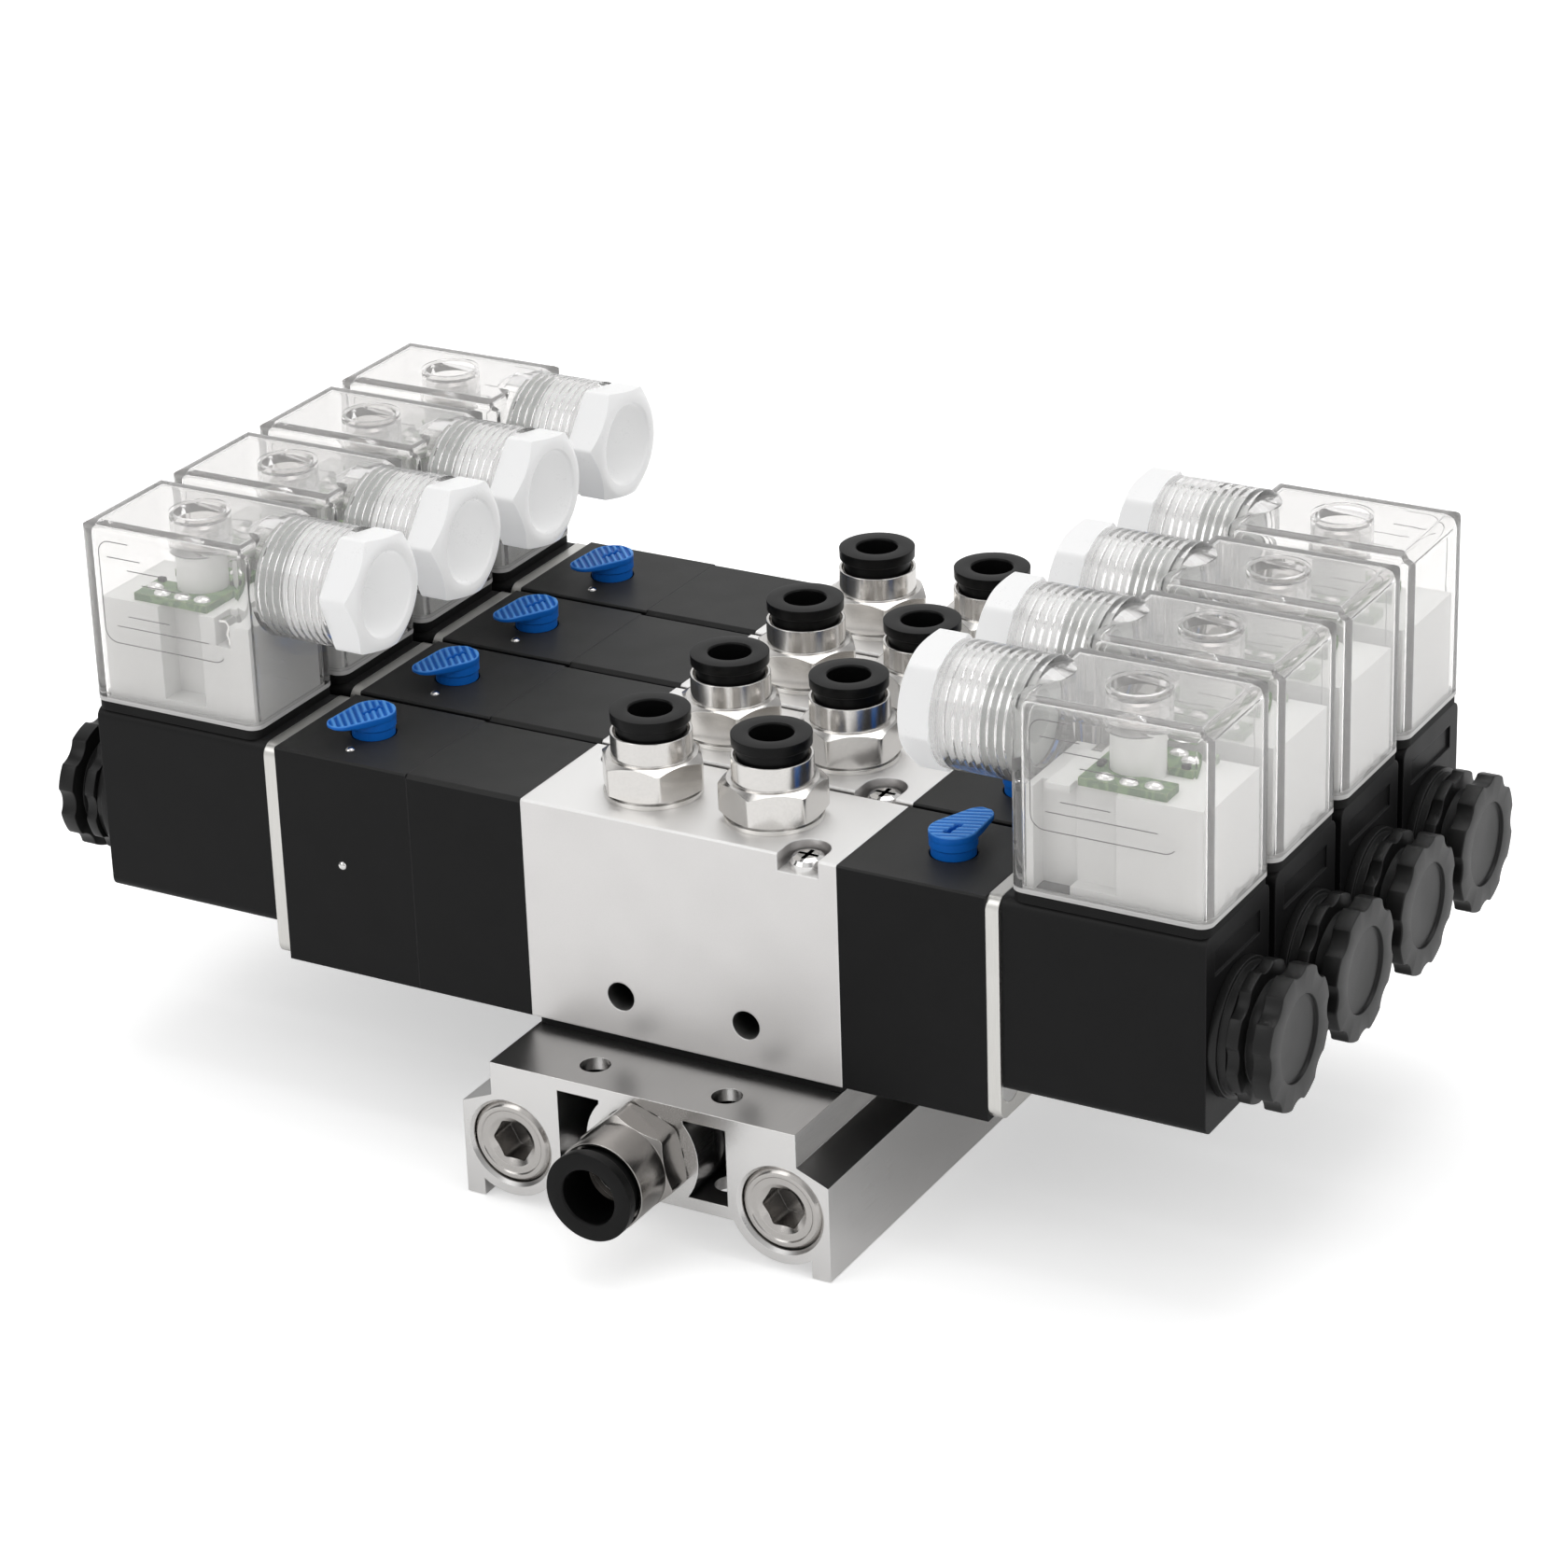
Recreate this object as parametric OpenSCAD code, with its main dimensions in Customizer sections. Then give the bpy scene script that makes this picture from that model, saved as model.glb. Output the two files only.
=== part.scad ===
// Solenoid valve manifold: spring-centred double-solenoid valves side by side on one extruded base.
// +Y runs along the base, +X across it towards the right-hand pilots, +Z up.
// The origin is under the middle of the whole part's outline, on the plane that its feet stand on.

/* [Stations] */
// Number of valves on the base
stations = 4; // [2:1:4]
// Distance between two valves
pitch = 23; // [22.8:0.1:27]
// Width of a valve body and of its end housings
valve_w = 22; // [21.2:0.1:22.6]

/* [Base] */
// Width across the feet
base_w = 61; // [60:0.5:66]
// Width of the raised face that the valves sit on
seat_w = 50.8; // [49:0.2:52]
// Height of that face above the feet
base_h = 22.5; // [21.8:0.1:26]
// Depth of the step beside the seat face
seat_step = 5.3; // [3:0.1:6]
// Drop of the sloping shoulder below the step
shoulder_drop = 2.1; // [1:0.1:2.6]
// Height of the channel between the feet
web_z = 6.2; // [5.2:0.1:6.6]
// Thickness of the web and of the roof over the windows
web_t = 2; // [1.5:0.1:2.2]
// Width of each foot lip
lip_w = 3; // [2:0.1:4]
// Distance from the last valve's centre to the end of the base
end_margin = 24; // [22:0.5:40]
// Distance of each exhaust channel from the middle
exhaust_x = 22.6; // [22.2:0.1:23]
// Height of the exhaust channels
exhaust_z = 9.7; // [9.4:0.1:10]
// Radius of the exhaust channels
exhaust_r = 5.7; // [5:0.1:6]
// Radius of the round wall about each exhaust channel
exhaust_boss_r = 8.5; // [8.2:0.1:8.8]
// Height of the supply channel
supply_z = 13.8; // [13.2:0.1:14]
// Radius of the supply channel
supply_r = 5.5; // [4.5:0.1:6]
// Radius of the round wall about the supply channel
supply_boss_r = 9.3; // [8.6:0.1:9.4]
// Distance from the middle to each window
window_x = 7; // [6:0.1:8]
// Width of each window
window_w = 7; // [5.5:0.1:7.4]
// Radius of the four mounting holes
mount_r = 2.3; // [1.8:0.1:2.5]
// Distance of the mounting holes from the middle
mount_x = 11; // [10:0.1:12]
// Distance of the mounting holes from the base's ends
mount_end = 6; // [4:0.5:10]

/* [Ports] */
// Radius of a quarter-inch port
port_r = 6.58; // [6.4:0.02:6.7]
// Depth of the ports in the base
port_depth = 12; // [9:0.5:14]
// Bevel at the mouth of a port
port_bevel = 0.5; // [0.2:0.1:0.8]
// Distance of the outlet ports from the valve's middle
outlet_x = 10; // [9.5:0.1:10.4]
// Depth of an outlet port
outlet_depth = 9; // [7:0.5:10]
// Distance of the exhaust passages from the valve's middle
passage_x = 18.2; // [17.8:0.1:18.6]
// Radius of the exhaust passages
passage_r = 2.4; // [1.8:0.1:2.6]

/* [Valve] */
// Length of a valve body
valve_l = 52; // [51:0.5:56]
// Height of a valve body
valve_h = 35; // [33:0.5:38]
// Thickness of the gasket under a valve
gasket_t = 1.5; // [0.8:0.1:2]
// Height of the spool's axis above the bottom of the valve
spool_h = 17.5; // [17:0.1:18]
// Radius of the spool bore
spool_r = 5.2; // [5:0.1:5.4]
// Travel of the spool each way
stroke = 2.5; // [2:0.1:2.7]
// Radius of the cross holes through the body
cross_r = 2.25; // [1.5:0.05:2.5]
// Distance of the cross holes from the middle
cross_x = 10.45; // [10:0.05:11]
// Height of the cross holes above the bottom of the valve
cross_h = 6.45; // [6:0.05:7]
// Distance of the hold-down screws from the middle, along the valve
hold_x = 19.8; // [19.4:0.1:20.2]
// Distance of the hold-down screws from the middle, across the valve
hold_y = 7.8; // [7.5:0.1:8]
// Radius of the pockets for their heads
pocket_r = 3.3; // [3:0.1:3.5]
// Depth of those pockets
pocket_depth = 2.7; // [2.2:0.1:3.5]

/* [End housings] */
// Length of the centring-spring housing
spring_l = 19.8; // [18:0.2:24]
// Length of a pilot housing
pilot_l = 23.3; // [23:0.1:27]
// Distance from a pilot housing's outer face to its override
override_in = 10.5; // [10:0.1:11]
// Radius of a pilot piston
piston_r = 7.1; // [6.8:0.1:7.5]
// Thickness of the tube plate
plate_t = 2; // [1.6:0.1:2.6]
// Distance of an end's two screws from the middle, across the valve
end_screw_y = 7.6; // [7.2:0.1:7.8]
// Distance of those screws above and below the spool's axis
end_screw_z = 12.5; // [12:0.1:12.8]

/* [Overrides] */
// Radius of the override's hub
hub_r = 3.3; // [3:0.1:3.6]
// Height of the hub above the housing
hub_h = 3.3; // [3:0.1:4]
// Reach of the lever from the hub's axis
lever_reach = 8.7; // [8:0.1:9.4]
// Radius of the lever's tip
lever_tip_r = 1.3; // [1:0.1:1.6]
// Thickness of the lever
lever_t = 1.2; // [0.9:0.1:1.4]
// Travel of the override when pressed
press = 1.2; // [0.8:0.1:1.3]

/* [Coils] */
// Length of a coil
coil_l = 31; // [30:0.5:36]
// Width of a coil
coil_w = 20.8; // [20:0.1:21.2]
// Height of a coil
coil_h = 30; // [29:0.5:33]
// Radius of the armature tube
tube_r = 4.5; // [4.3:0.1:5]
// Wall of the armature tube
tube_wall = 0.5; // [0.3:0.05:0.6]
// Length of the plunger
plunger_l = 20; // [18:0.5:22]
// Travel of the plunger
plunger_travel = 0.8; // [0.4:0.1:1]
// Length of the coil nut
nut_l = 9.3; // [8.5:0.1:11]
// Radius of the coil nut over its lobes
nut_r = 10.4; // [9.6:0.1:10.5]
// Number of scallops round the coil nut
scallops = 8; // [6:1:12]

/* [Connectors] */
// Length of a connector cover
cover_l = 30; // [29:0.2:31]
// Height of a connector cover
cover_h = 29; // [28.4:0.2:32]
// Wall of a connector cover
cover_wall = 1.5; // [1:0.1:1.8]
// Thickness of the gasket under a connector
seal_t = 1.5; // [1:0.1:2]
// Shift of the connector's middle outwards from the coil's
cover_shift = 0.8; // [0:0.1:1]
// Height of the cable neck's axis above the cover's foot
neck_h = 21.5; // [20.5:0.1:22]
// Outer radius of the cable neck
neck_r = 9.2; // [8.8:0.1:9.6]
// Length of the cable neck
neck_l = 12.5; // [11:0.5:14]
// Radius of the neck's bore at the thread's crests
neck_bore_r = 7.6; // [7:0.1:7.8]
// Pitch of the thread in the neck
thread_pitch = 1.3; // [1:0.1:2]
// Depth of that thread
thread_depth = 0.55; // [0.3:0.05:0.7]
// Width of the gland nut across its flats
gland_flats = 17; // [16.6:0.1:17.4]
// Length of the gland nut's head
gland_l = 5.5; // [4.5:0.1:7]
// Radius of the hole through the gland nut
gland_bore_r = 6.3; // [5.6:0.1:6.5]
// Radius of the hole through the cable seal
cable_r = 3.25; // [2.5:0.05:4]
// Height of the terminal block above the cover's foot
block_h = 16.5; // [15.5:0.1:17]

/* [Fittings] */
// Width across the flats of a fitting
hex_flats = 14; // [13.8:0.1:14.4]
// Height of an outlet fitting's hexagon with its washer
hex_h = 6.5; // [5.5:0.1:7.5]
// Radius of an outlet fitting's ring
ring_r = 6; // [5.9:0.05:6.3]
// Height of that ring
ring_h = 3.3; // [2.6:0.1:4]
// Radius of an outlet tube
outlet_tube_r = 3; // [2.6:0.1:3]
// Travel of a release collar
release = 1.5; // [1:0.1:1.6]
// Radius of the supply fitting's barrel
barrel_r = 7.4; // [7:0.1:7.6]
// Length of the supply fitting's barrel
barrel_l = 6.6; // [5:0.1:8]
// Radius of the supply tube
supply_tube_r = 4; // [3.5:0.1:4.2]

/* [Clearances] */
// Clearance between a screw and the hole it passes through
screw_fit = 0.1; // [0.05:0.05:0.2]
// Clearance between a sliding part and its bore
slide_fit = 0.08; // [0.06:0.01:0.1]
// Clearance between a threaded part and its port
thread_fit = 0.08; // [0.05:0.01:0.15]
// Clearance between a tube and its socket
tube_fit = 0.05; // [0.03:0.01:0.1]

/* [Hidden] */
$fn = 64;
eps = 0.01;
base_l = (stations - 1) * pitch + 2 * end_margin;
valve_z = base_h + gasket_t;
valve_top = valve_z + valve_h;
spool_z = valve_z + spool_h;
gasket_inset = 0.6;
shoulder_z = base_h - seat_step - shoulder_drop;
window_z0 = web_z + web_t;
window_z1 = base_h - web_t;
screw_r = 1.5;
head_r = 2.7;
head_h = 1.9;
hold_depth = 5;
end_screw_depth = 3.8;
sink_h = 1.3;
supply_hole_r = 3;
outlet_hole_r = 3.2;

// Pilot end, measured outwards from the pilot housing's inner face
plate_u = pilot_l;
coil_u = plate_u + plate_t;
nut_u = coil_u + coil_l;
override_u = pilot_l - override_in;
cover_u = coil_u + coil_l / 2 + cover_shift;
cover_in_u = cover_u - cover_l / 2;
gland_u = cover_in_u - neck_l;
shank_l = 7.5;
stud_r = 3;
stud_play = 2.2;

// Spool and pistons
piston_gap = 0.2;
touch = 0.05;
piston_l = 3.8;
piston_u = stroke + piston_gap;
piston_bore_l = piston_u + piston_l + stroke + 0.4;
rod_r = 2.4;
rod_collar_r = 3.2;
spring_wall = 2.8;
washer_t = 1.2;
washer_r = 6.3;
spring_cavity_r = 6.6;
override_r = 1.9;
override_floor = spool_z + piston_r + 1.2;
plunger_pocket_l = 0.3 * plunger_l;
plunger_pocket_r = tube_r - tube_wall - 1.8;

// Coil and connector heights
coil_z = valve_top - coil_h;
cover_z = valve_top + seal_t;
cover_top = cover_z + cover_h;
neck_z = cover_z + neck_h;
block_top = cover_z + block_h;
cavity_gap = 0.9;
block_l = cover_l - 2 * (cover_wall + 0.4);
block_w = coil_w - 2 * (cover_wall + cavity_gap);
block_u = cover_u - block_l / 2;
post_r = 3.9;

// Pockets in the terminal block's sides, measured from its inner end
pocket_floor = 1.5;
slot_start = 8.4;
slot_l = 7.5;
slot_depth = 4;
corner_l = 3;
corner_drop = 1;
niche_l = 2.6;
niche_h = 4.5;
column_l = 1.1;
hollow_l = 5.5;
hollow_depth = 3;
shelf_l = 7;
shelf_depth = 2.2;

// Board on the terminal block, and the slot in its outer end
board_t = 1.2;
board_in = cover_l / 2 - 9.4;
board_out = cover_l / 2 - 7.4;
board_w = coil_w - 6.4;
board_slot_w = 4.4;
board_slot_y = 1.1;

// Connector cover and its blades
well_r = 4;
well_wall = 0.65;
well_rim = 0.5;
well_floor = 1;
well_z = cover_top - 5.5;
edge_r = 2;
blade_h = 10;
blade_w = 4.8;
blade_t = 0.8;
blade_fit = 0.3;
blade_root = 2;
pair_u = 7;
pair_y = 5.5;
earth_u = 8.5;

// Fittings, measured outwards from the face that they stand on
collar_flange_h = 1.2;
collar_rise = 2;
outlet_mouth = hex_h + ring_h;
outlet_neck_r = ring_r - 0.5;
outlet_sleeve = 3;
outlet_socket = 5.5;
supply_hex_l = 5.2;
supply_mouth = supply_hex_l + barrel_l;
supply_neck_r = barrel_r - 0.8;
supply_sleeve = 4;
supply_socket = 7;

// Middle of the whole part's outline, from the middle of the base
middle_x = -spring_l / 2;
middle_y = -(supply_mouth + collar_rise + collar_flange_h) / 2;

// Names of every piece, one list entry for each
function numbered(name) = [for (i = [1 : stations]) str(name, "_", i)];

// Places

function station_y(i) = (i - (stations + 1) / 2) * pitch;
function end_face(side) = side > 0 ? valve_l / 2 : valve_l / 2 + spring_l;

module at_station(i) {
    translate([0, station_y(i), 0])
        children();
}

// Everything is drawn about the middle of the base, then moved to the part's origin
module to_origin() {
    translate([-middle_x, -middle_y, 0])
        children();
}

module each_station() {
    for (i = [1 : stations])
        at_station(i)
            children();
}

// Frame of one pilot end: its x axis runs outwards from the pilot housing's inner face
module at_end(side, i) {
    translate([side * end_face(side), station_y(i), 0])
        rotate([0, 0, side > 0 ? 0 : 180])
            children();
}

module each_end() {
    for (i = [1 : stations], side = [-1, 1])
        at_end(side, i)
            children();
}

// Shapes

// Round bar along x from x0 to x1 at height z
module bar_x(x0, x1, r, z = spool_z) {
    translate([x0, 0, z])
        rotate([0, 90, 0])
            cylinder(h = x1 - x0, r = r);
}

// Profile of [radius, distance] points turned about an axis along x at height z
module turned_x(points, z = spool_z) {
    translate([0, 0, z])
        rotate([0, 90, 0])
            rotate_extrude()
                polygon(points);
}

// Rectangle with rounded corners, centred
module rounded(l, w, r) {
    square([l - 2 * r, w], center = true);
    square([l, w - 2 * r], center = true);
    for (x = [-1, 1], y = [-1, 1])
        translate([x * (l / 2 - r), y * (w / 2 - r)])
            circle(r);
}

// Block standing on z = 0 with its upright and top edges rounded
module rounded_block(l, w, h, r) {
    intersection() {
        linear_extrude(h)
            rounded(l, w, r);
        translate([0, w / 2, 0])
            rotate([90, 0, 0])
                linear_extrude(w)
                    translate([0, h / 2 - r])
                        rounded(l, h + 2 * r, r);
        translate([-l / 2, 0, 0])
            rotate([90, 0, 90])
                linear_extrude(l)
                    translate([0, h / 2 - r])
                        rounded(w, h + 2 * r, r);
    }
}

// Block between x0 and x1 whose two long top edges are bevelled
module bevelled_block(x0, x1, w, z0, z1, bevel) {
    translate([x0, 0, 0])
        rotate([90, 0, 90])
            linear_extrude(x1 - x0)
                polygon([[-w / 2, z0], [w / 2, z0], [w / 2, z1 - bevel], [w / 2 - bevel, z1],
                         [bevel - w / 2, z1], [-w / 2, z1 - bevel]]);
}

// Hexagon prism from z = 0 with its top corners turned down
module hex_nut(flats, h, bevel = 0.9) {
    corner = flats / sqrt(3);
    intersection() {
        cylinder(h = h, r = corner, $fn = 6);
        union() {
            cylinder(h = h - bevel, r = corner + 1);
            translate([0, 0, h - bevel])
                cylinder(h = bevel, r1 = corner, r2 = corner - 1.7 * bevel);
        }
    }
}

// Pan-head screw with a cross in its head; its shaft hangs down from z = 0
module pan_screw(shaft) {
    difference() {
        union() {
            rotate_extrude()
                polygon([[0, 0], [head_r, 0], [head_r, head_h * 0.55], [head_r * 0.85, head_h * 0.85],
                         [head_r * 0.55, head_h], [0, head_h]]);
            translate([0, 0, -shaft])
                cylinder(h = shaft + eps, r = screw_r);
        }
        for (turn = [0, 90])
            rotate([0, 0, turn])
                translate([-head_r * 0.6, -0.35, head_h - 1.1])
                    cube([head_r * 1.2, 0.7, 2]);
    }
}

// Wire wound into a spring from z = 0 to z = h
module wound_spring(h, coil_r, wire_r, turns, sides, steps) {
    translate([0, 0, wire_r])
        linear_extrude(h - 2 * wire_r, twist = -360 * turns, slices = turns * steps, $fn = sides)
            translate([coil_r, 0])
                scale([1, 2.2])
                    circle(wire_r, $fn = sides);
}

// Positions of the two screws that hold an end housing: across and above the spool axis
function end_screws() = [[end_screw_y, end_screw_z], [-end_screw_y, -end_screw_z]];

module end_screw_holes(x0, x1, r) {
    for (p = end_screws())
        translate([0, p[0], 0])
            bar_x(x0, x1, r, spool_z + p[1]);
}

// Base

module base_profile() {
    difference() {
        polygon([[-seat_w / 2, base_h], [seat_w / 2, base_h], [seat_w / 2, base_h - seat_step],
                 [base_w / 2, shoulder_z], [base_w / 2, 0], [-base_w / 2, 0],
                 [-base_w / 2, shoulder_z], [-seat_w / 2, base_h - seat_step]]);
        difference() {
            translate([lip_w - base_w / 2, -1])
                square([base_w - 2 * lip_w, web_z + 1]);
            for (side = [-1, 1])
                translate([side * exhaust_x, exhaust_z])
                    circle(exhaust_boss_r);
        }
        for (side = [-1, 1])
            difference() {
                translate([side * (window_x + window_w / 2) - window_w / 2, window_z0])
                    square([window_w, window_z1 - window_z0]);
                translate([0, supply_z])
                    circle(supply_boss_r);
            }
    }
}

// Channel along y with a bevelled port in each end
module ported_channel(x, z, r) {
    translate([x, base_l / 2 + 1, z])
        rotate([90, 0, 0])
            cylinder(h = base_l + 2, r = r);
    for (end = [-1, 1])
        translate([x, end * base_l / 2, z])
            rotate([end * 90, 0, 0]) {
                translate([0, 0, -1])
                    cylinder(h = port_depth + 1, r = port_r);
                cylinder(h = port_bevel, r1 = port_r + port_bevel, r2 = port_r);
            }
}

module manifold_base() {
    color([0.80, 0.80, 0.81])
        difference() {
            translate([0, base_l / 2, 0])
                rotate([90, 0, 0])
                    linear_extrude(base_l)
                        base_profile();
            ported_channel(0, supply_z, supply_r);
            for (side = [-1, 1])
                ported_channel(side * exhaust_x, exhaust_z, exhaust_r);
            each_station() {
                translate([0, 0, supply_z])
                    cylinder(h = base_h, r = supply_hole_r);
                for (side = [-1, 1]) {
                    translate([side * passage_x, 0, exhaust_z])
                        cylinder(h = base_h, r = passage_r);
                    translate([side * hold_x, -side * hold_y, base_h - hold_depth - 0.5])
                        cylinder(h = base_h, r = screw_r + 0.05);
                }
            }
            for (x = [-1, 1], y = [-1, 1])
                translate([x * mount_x, y * (base_l / 2 - mount_end), -1])
                    cylinder(h = base_h + 2, r = mount_r);
        }
}

module valve_gaskets() {
    color([0.06, 0.06, 0.06])
        each_station()
            difference() {
                translate([0, 0, base_h])
                    linear_extrude(gasket_t)
                        rounded(valve_l - 2 * gasket_inset, valve_w - 1.5, 1);
                for (side = [-1, 1]) {
                    translate([side * passage_x, 0, base_h - 1])
                        cylinder(h = gasket_t + 2, r = passage_r);
                    translate([side * hold_x, -side * hold_y, base_h - 1])
                        cylinder(h = gasket_t + 2, r = screw_r + screw_fit);
                }
                translate([0, 0, base_h - 1])
                    cylinder(h = gasket_t + 2, r = supply_hole_r);
            }
}

// Valve

module valve_body() {
    color([0.84, 0.84, 0.85])
        difference() {
            bevelled_block(-valve_l / 2, valve_l / 2, valve_w, valve_z, valve_top, 0.25);
            bar_x(-valve_l, valve_l, spool_r);
            translate([0, 0, valve_z - 1])
                cylinder(h = spool_h + 1, r = supply_hole_r);
            for (side = [-1, 1]) {
                translate([side * passage_x, 0, valve_z - 1])
                    cylinder(h = spool_h + 1, r = passage_r);
                translate([side * outlet_x, 0, spool_z])
                    cylinder(h = valve_h, r = outlet_hole_r);
                translate([side * outlet_x, 0, valve_top - outlet_depth])
                    cylinder(h = valve_h, r = port_r);
                translate([side * cross_x, valve_w, valve_z + cross_h])
                    rotate([90, 0, 0])
                        cylinder(h = 2 * valve_w, r = cross_r);
                translate([side * hold_x, -side * hold_y, valve_z - 1])
                    cylinder(h = valve_h + 2, r = screw_r + screw_fit);
                translate([side * hold_x, -side * hold_y, valve_top - pocket_depth]) {
                    cylinder(h = valve_h, r = pocket_r);
                    translate([-pocket_r, side > 0 ? -valve_w : 0, 0])
                        cube([2 * pocket_r, valve_w, valve_h]);
                }
            }
            for (turn = [0, 180])
                rotate([0, 0, turn])
                    end_screw_holes(valve_l / 2 - end_screw_depth - 0.2, valve_l, screw_r + 0.05);
        }
}

module valve_screws() {
    color([0.80, 0.80, 0.80])
        union() {
            each_station()
                for (side = [-1, 1])
                    translate([side * hold_x, -side * hold_y, valve_top - pocket_depth])
                        pan_screw(valve_h - pocket_depth + gasket_t + hold_depth);
            for (i = [1 : stations], side = [-1, 1])
                at_end(side, i)
                    for (p = end_screws())
                        translate([0, p[0], spool_z + p[1]])
                            end_screw(side > 0 ? pilot_l : pilot_l + spring_l);
        }
}

// Countersunk screw whose head is flush with the tube plate's outer face
module end_screw(reach) {
    l = reach + plate_t + end_screw_depth;
    rotate([0, 90, 0])
        translate([0, 0, coil_u - l])
            rotate_extrude()
                polygon([[0, 0], [screw_r, 0], [screw_r, l - sink_h], [head_r, l - touch], [0, l - touch]]);
}

// Spool with its centring rod, and a pilot piston at each end
module spool() {
    land = outlet_hole_r + 0.15;
    inner_land = outlet_x - land;
    outer_land = outlet_x + land;
    end_land = passage_x + passage_r + stroke + 0.05;
    r = spool_r - slide_fit;
    core = 3;
    half = valve_l / 2;
    rod_end = half + spring_l - spring_wall;
    color([0.78, 0.79, 0.80]) {
        turned_x([[0, -rod_end - spring_wall - piston_u], [rod_collar_r, -rod_end - spring_wall - piston_u],
                  [rod_collar_r, -rod_end], [rod_r, -rod_end], [rod_r, -half], [r, -half],
                  [r, -end_land], [core, -end_land], [core, -outer_land], [r, -outer_land],
                  [r, -inner_land], [core, -inner_land], [core, inner_land], [r, inner_land],
                  [r, outer_land], [core, outer_land], [core, end_land], [r, end_land],
                  [r, half], [rod_collar_r, half], [rod_collar_r, half + piston_u],
                  [0, half + piston_u]]);
        for (side = [-1, 1])
            translate([side * end_face(side), 0, 0])
                rotate([0, 0, side > 0 ? 0 : 180])
                    bar_x(piston_u + touch, piston_u + piston_l, piston_r);
    }
}

module spring_housings() {
    inner = valve_l / 2;
    color([0.07, 0.07, 0.07])
        each_station()
            difference() {
                bevelled_block(-inner - spring_l, -inner, valve_w, valve_z, valve_top, 0.6);
                bar_x(-inner - spring_l + spring_wall, -inner + 1, spring_cavity_r);
                bar_x(-inner - spring_l - 1, -inner, rod_collar_r + 0.3);
                rotate([0, 0, 180])
                    end_screw_holes(inner - 1, inner + spring_l + 1, screw_r + screw_fit);
            }
}

// Wound spring between its two washers, around the spool's rod
module centering_springs() {
    inner = valve_l / 2;
    outer = inner + spring_l - spring_wall;
    free = outer - inner - 2 * washer_t;
    color([0.55, 0.56, 0.58])
        each_station() {
            for (x = [-outer, -inner - washer_t])
                difference() {
                    bar_x(x, x + washer_t, washer_r);
                    bar_x(x - 1, x + washer_t + 1, rod_r + 0.2);
                }
            translate([-outer + washer_t, 0, spool_z])
                rotate([0, 90, 0])
                    wound_spring(free, 4.6, 0.6, 5, 6, 12);
        }
}

module pilot_housings() {
    color([0.07, 0.07, 0.07])
        each_end()
            difference() {
                bevelled_block(0, pilot_l, valve_w, valve_z, valve_top, 0.25);
                bar_x(-1, piston_bore_l, piston_r + slide_fit);
                bar_x(-1, pilot_l + 1, 0.6, spool_z - 3);
                translate([override_u, 0, override_floor])
                    cylinder(h = valve_h, r = override_r + slide_fit);
                translate([override_u, 0, valve_top - press - 0.4])
                    cylinder(h = valve_h, r = hub_r + 0.2);
                end_screw_holes(-1, pilot_l + 1, screw_r + screw_fit);
            }
}

// Overrides

module override_stem() {
    floor_z = override_floor + press + 0.2;
    color([0.78, 0.68, 0.42])
        translate([override_u, 0, floor_z])
            cylinder(h = valve_top - floor_z - 0.1, r = override_r);
}

// Outline of the knob: a hub circle with straight flanks to a small round tip along +y
module knob_outline() {
    tip_y = lever_reach - lever_tip_r;
    lean = acos((hub_r - lever_tip_r) / tip_y);
    flank = [sin(lean), cos(lean)];
    circle(hub_r);
    translate([0, tip_y])
        circle(lever_tip_r);
    polygon([hub_r * flank, [0, tip_y] + lever_tip_r * flank,
             [-lever_tip_r * flank[0], tip_y + lever_tip_r * flank[1]],
             [-hub_r * flank[0], hub_r * flank[1]]]);
}

module override_knob() {
    top = valve_top + hub_h;
    rib = 0.3;
    color([0.05, 0.35, 0.80])
        translate([override_u, 0, 0])
            difference() {
                union() {
                    translate([0, 0, valve_top - 0.1])
                        cylinder(h = hub_h + 0.1, r = hub_r);
                    intersection() {
                        translate([0, 0, top - lever_t])
                            linear_extrude(lever_t)
                                knob_outline();
                        rotate([90, 0, 90])
                            translate([0, 0, -hub_r - 1])
                                linear_extrude(2 * hub_r + 2)
                                    polygon([[-hub_r - 1, top - lever_t], [hub_r, top - lever_t],
                                             [lever_reach + 1, top - lever_t / 2],
                                             [lever_reach + 1, top + 1], [-hub_r - 1, top + 1]]);
                    }
                }
                translate([-0.4, -1.8, top - 0.8])
                    cube([0.8, 3.6, 2]);
                for (k = [-3 : 7])
                    translate([-hub_r - 1, k * 1.1 + 0.35, top - rib])
                        rotate([0, 0, 35])
                            translate([-6, 0, 0])
                                cube([14, 0.35, 1]);
            }
}

// Pilot end

module tube_plates() {
    r = tube_r - tube_wall;
    core_u = plate_u + plunger_l + plunger_travel;
    foot_gap = 0.3;
    plate_h = valve_h - foot_gap;
    color([0.78, 0.78, 0.76])
        each_end() {
            difference() {
                union() {
                    translate([plate_u, 0, valve_z + foot_gap + plate_h / 2])
                        rotate([90, 0, 90])
                            linear_extrude(plate_t)
                                rounded(valve_w, plate_h, 2);
                    bar_x(plate_u, nut_u, tube_r);
                    bar_x(nut_u, nut_u + nut_l - stud_play, stud_r);
                }
                bar_x(plate_u - 1, core_u, r);
                for (p = end_screws())
                    translate([0, p[0], 0]) {
                        bar_x(plate_u - 1, coil_u + 1, screw_r + screw_fit, spool_z + p[1]);
                        translate([coil_u - sink_h, 0, spool_z + p[1]])
                            rotate([0, 90, 0])
                                cylinder(h = sink_h + eps, r1 = screw_r + screw_fit,
                                         r2 = head_r + screw_fit);
                    }
            }
        }
}

module plunger() {
    r = tube_r - tube_wall - slide_fit;
    color([0.62, 0.62, 0.64])
        difference() {
            bar_x(plate_u, plate_u + plunger_l, r);
            bar_x(plate_u + plunger_l - plunger_pocket_l, plate_u + plunger_l + 1, plunger_pocket_r);
        }
}

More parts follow.
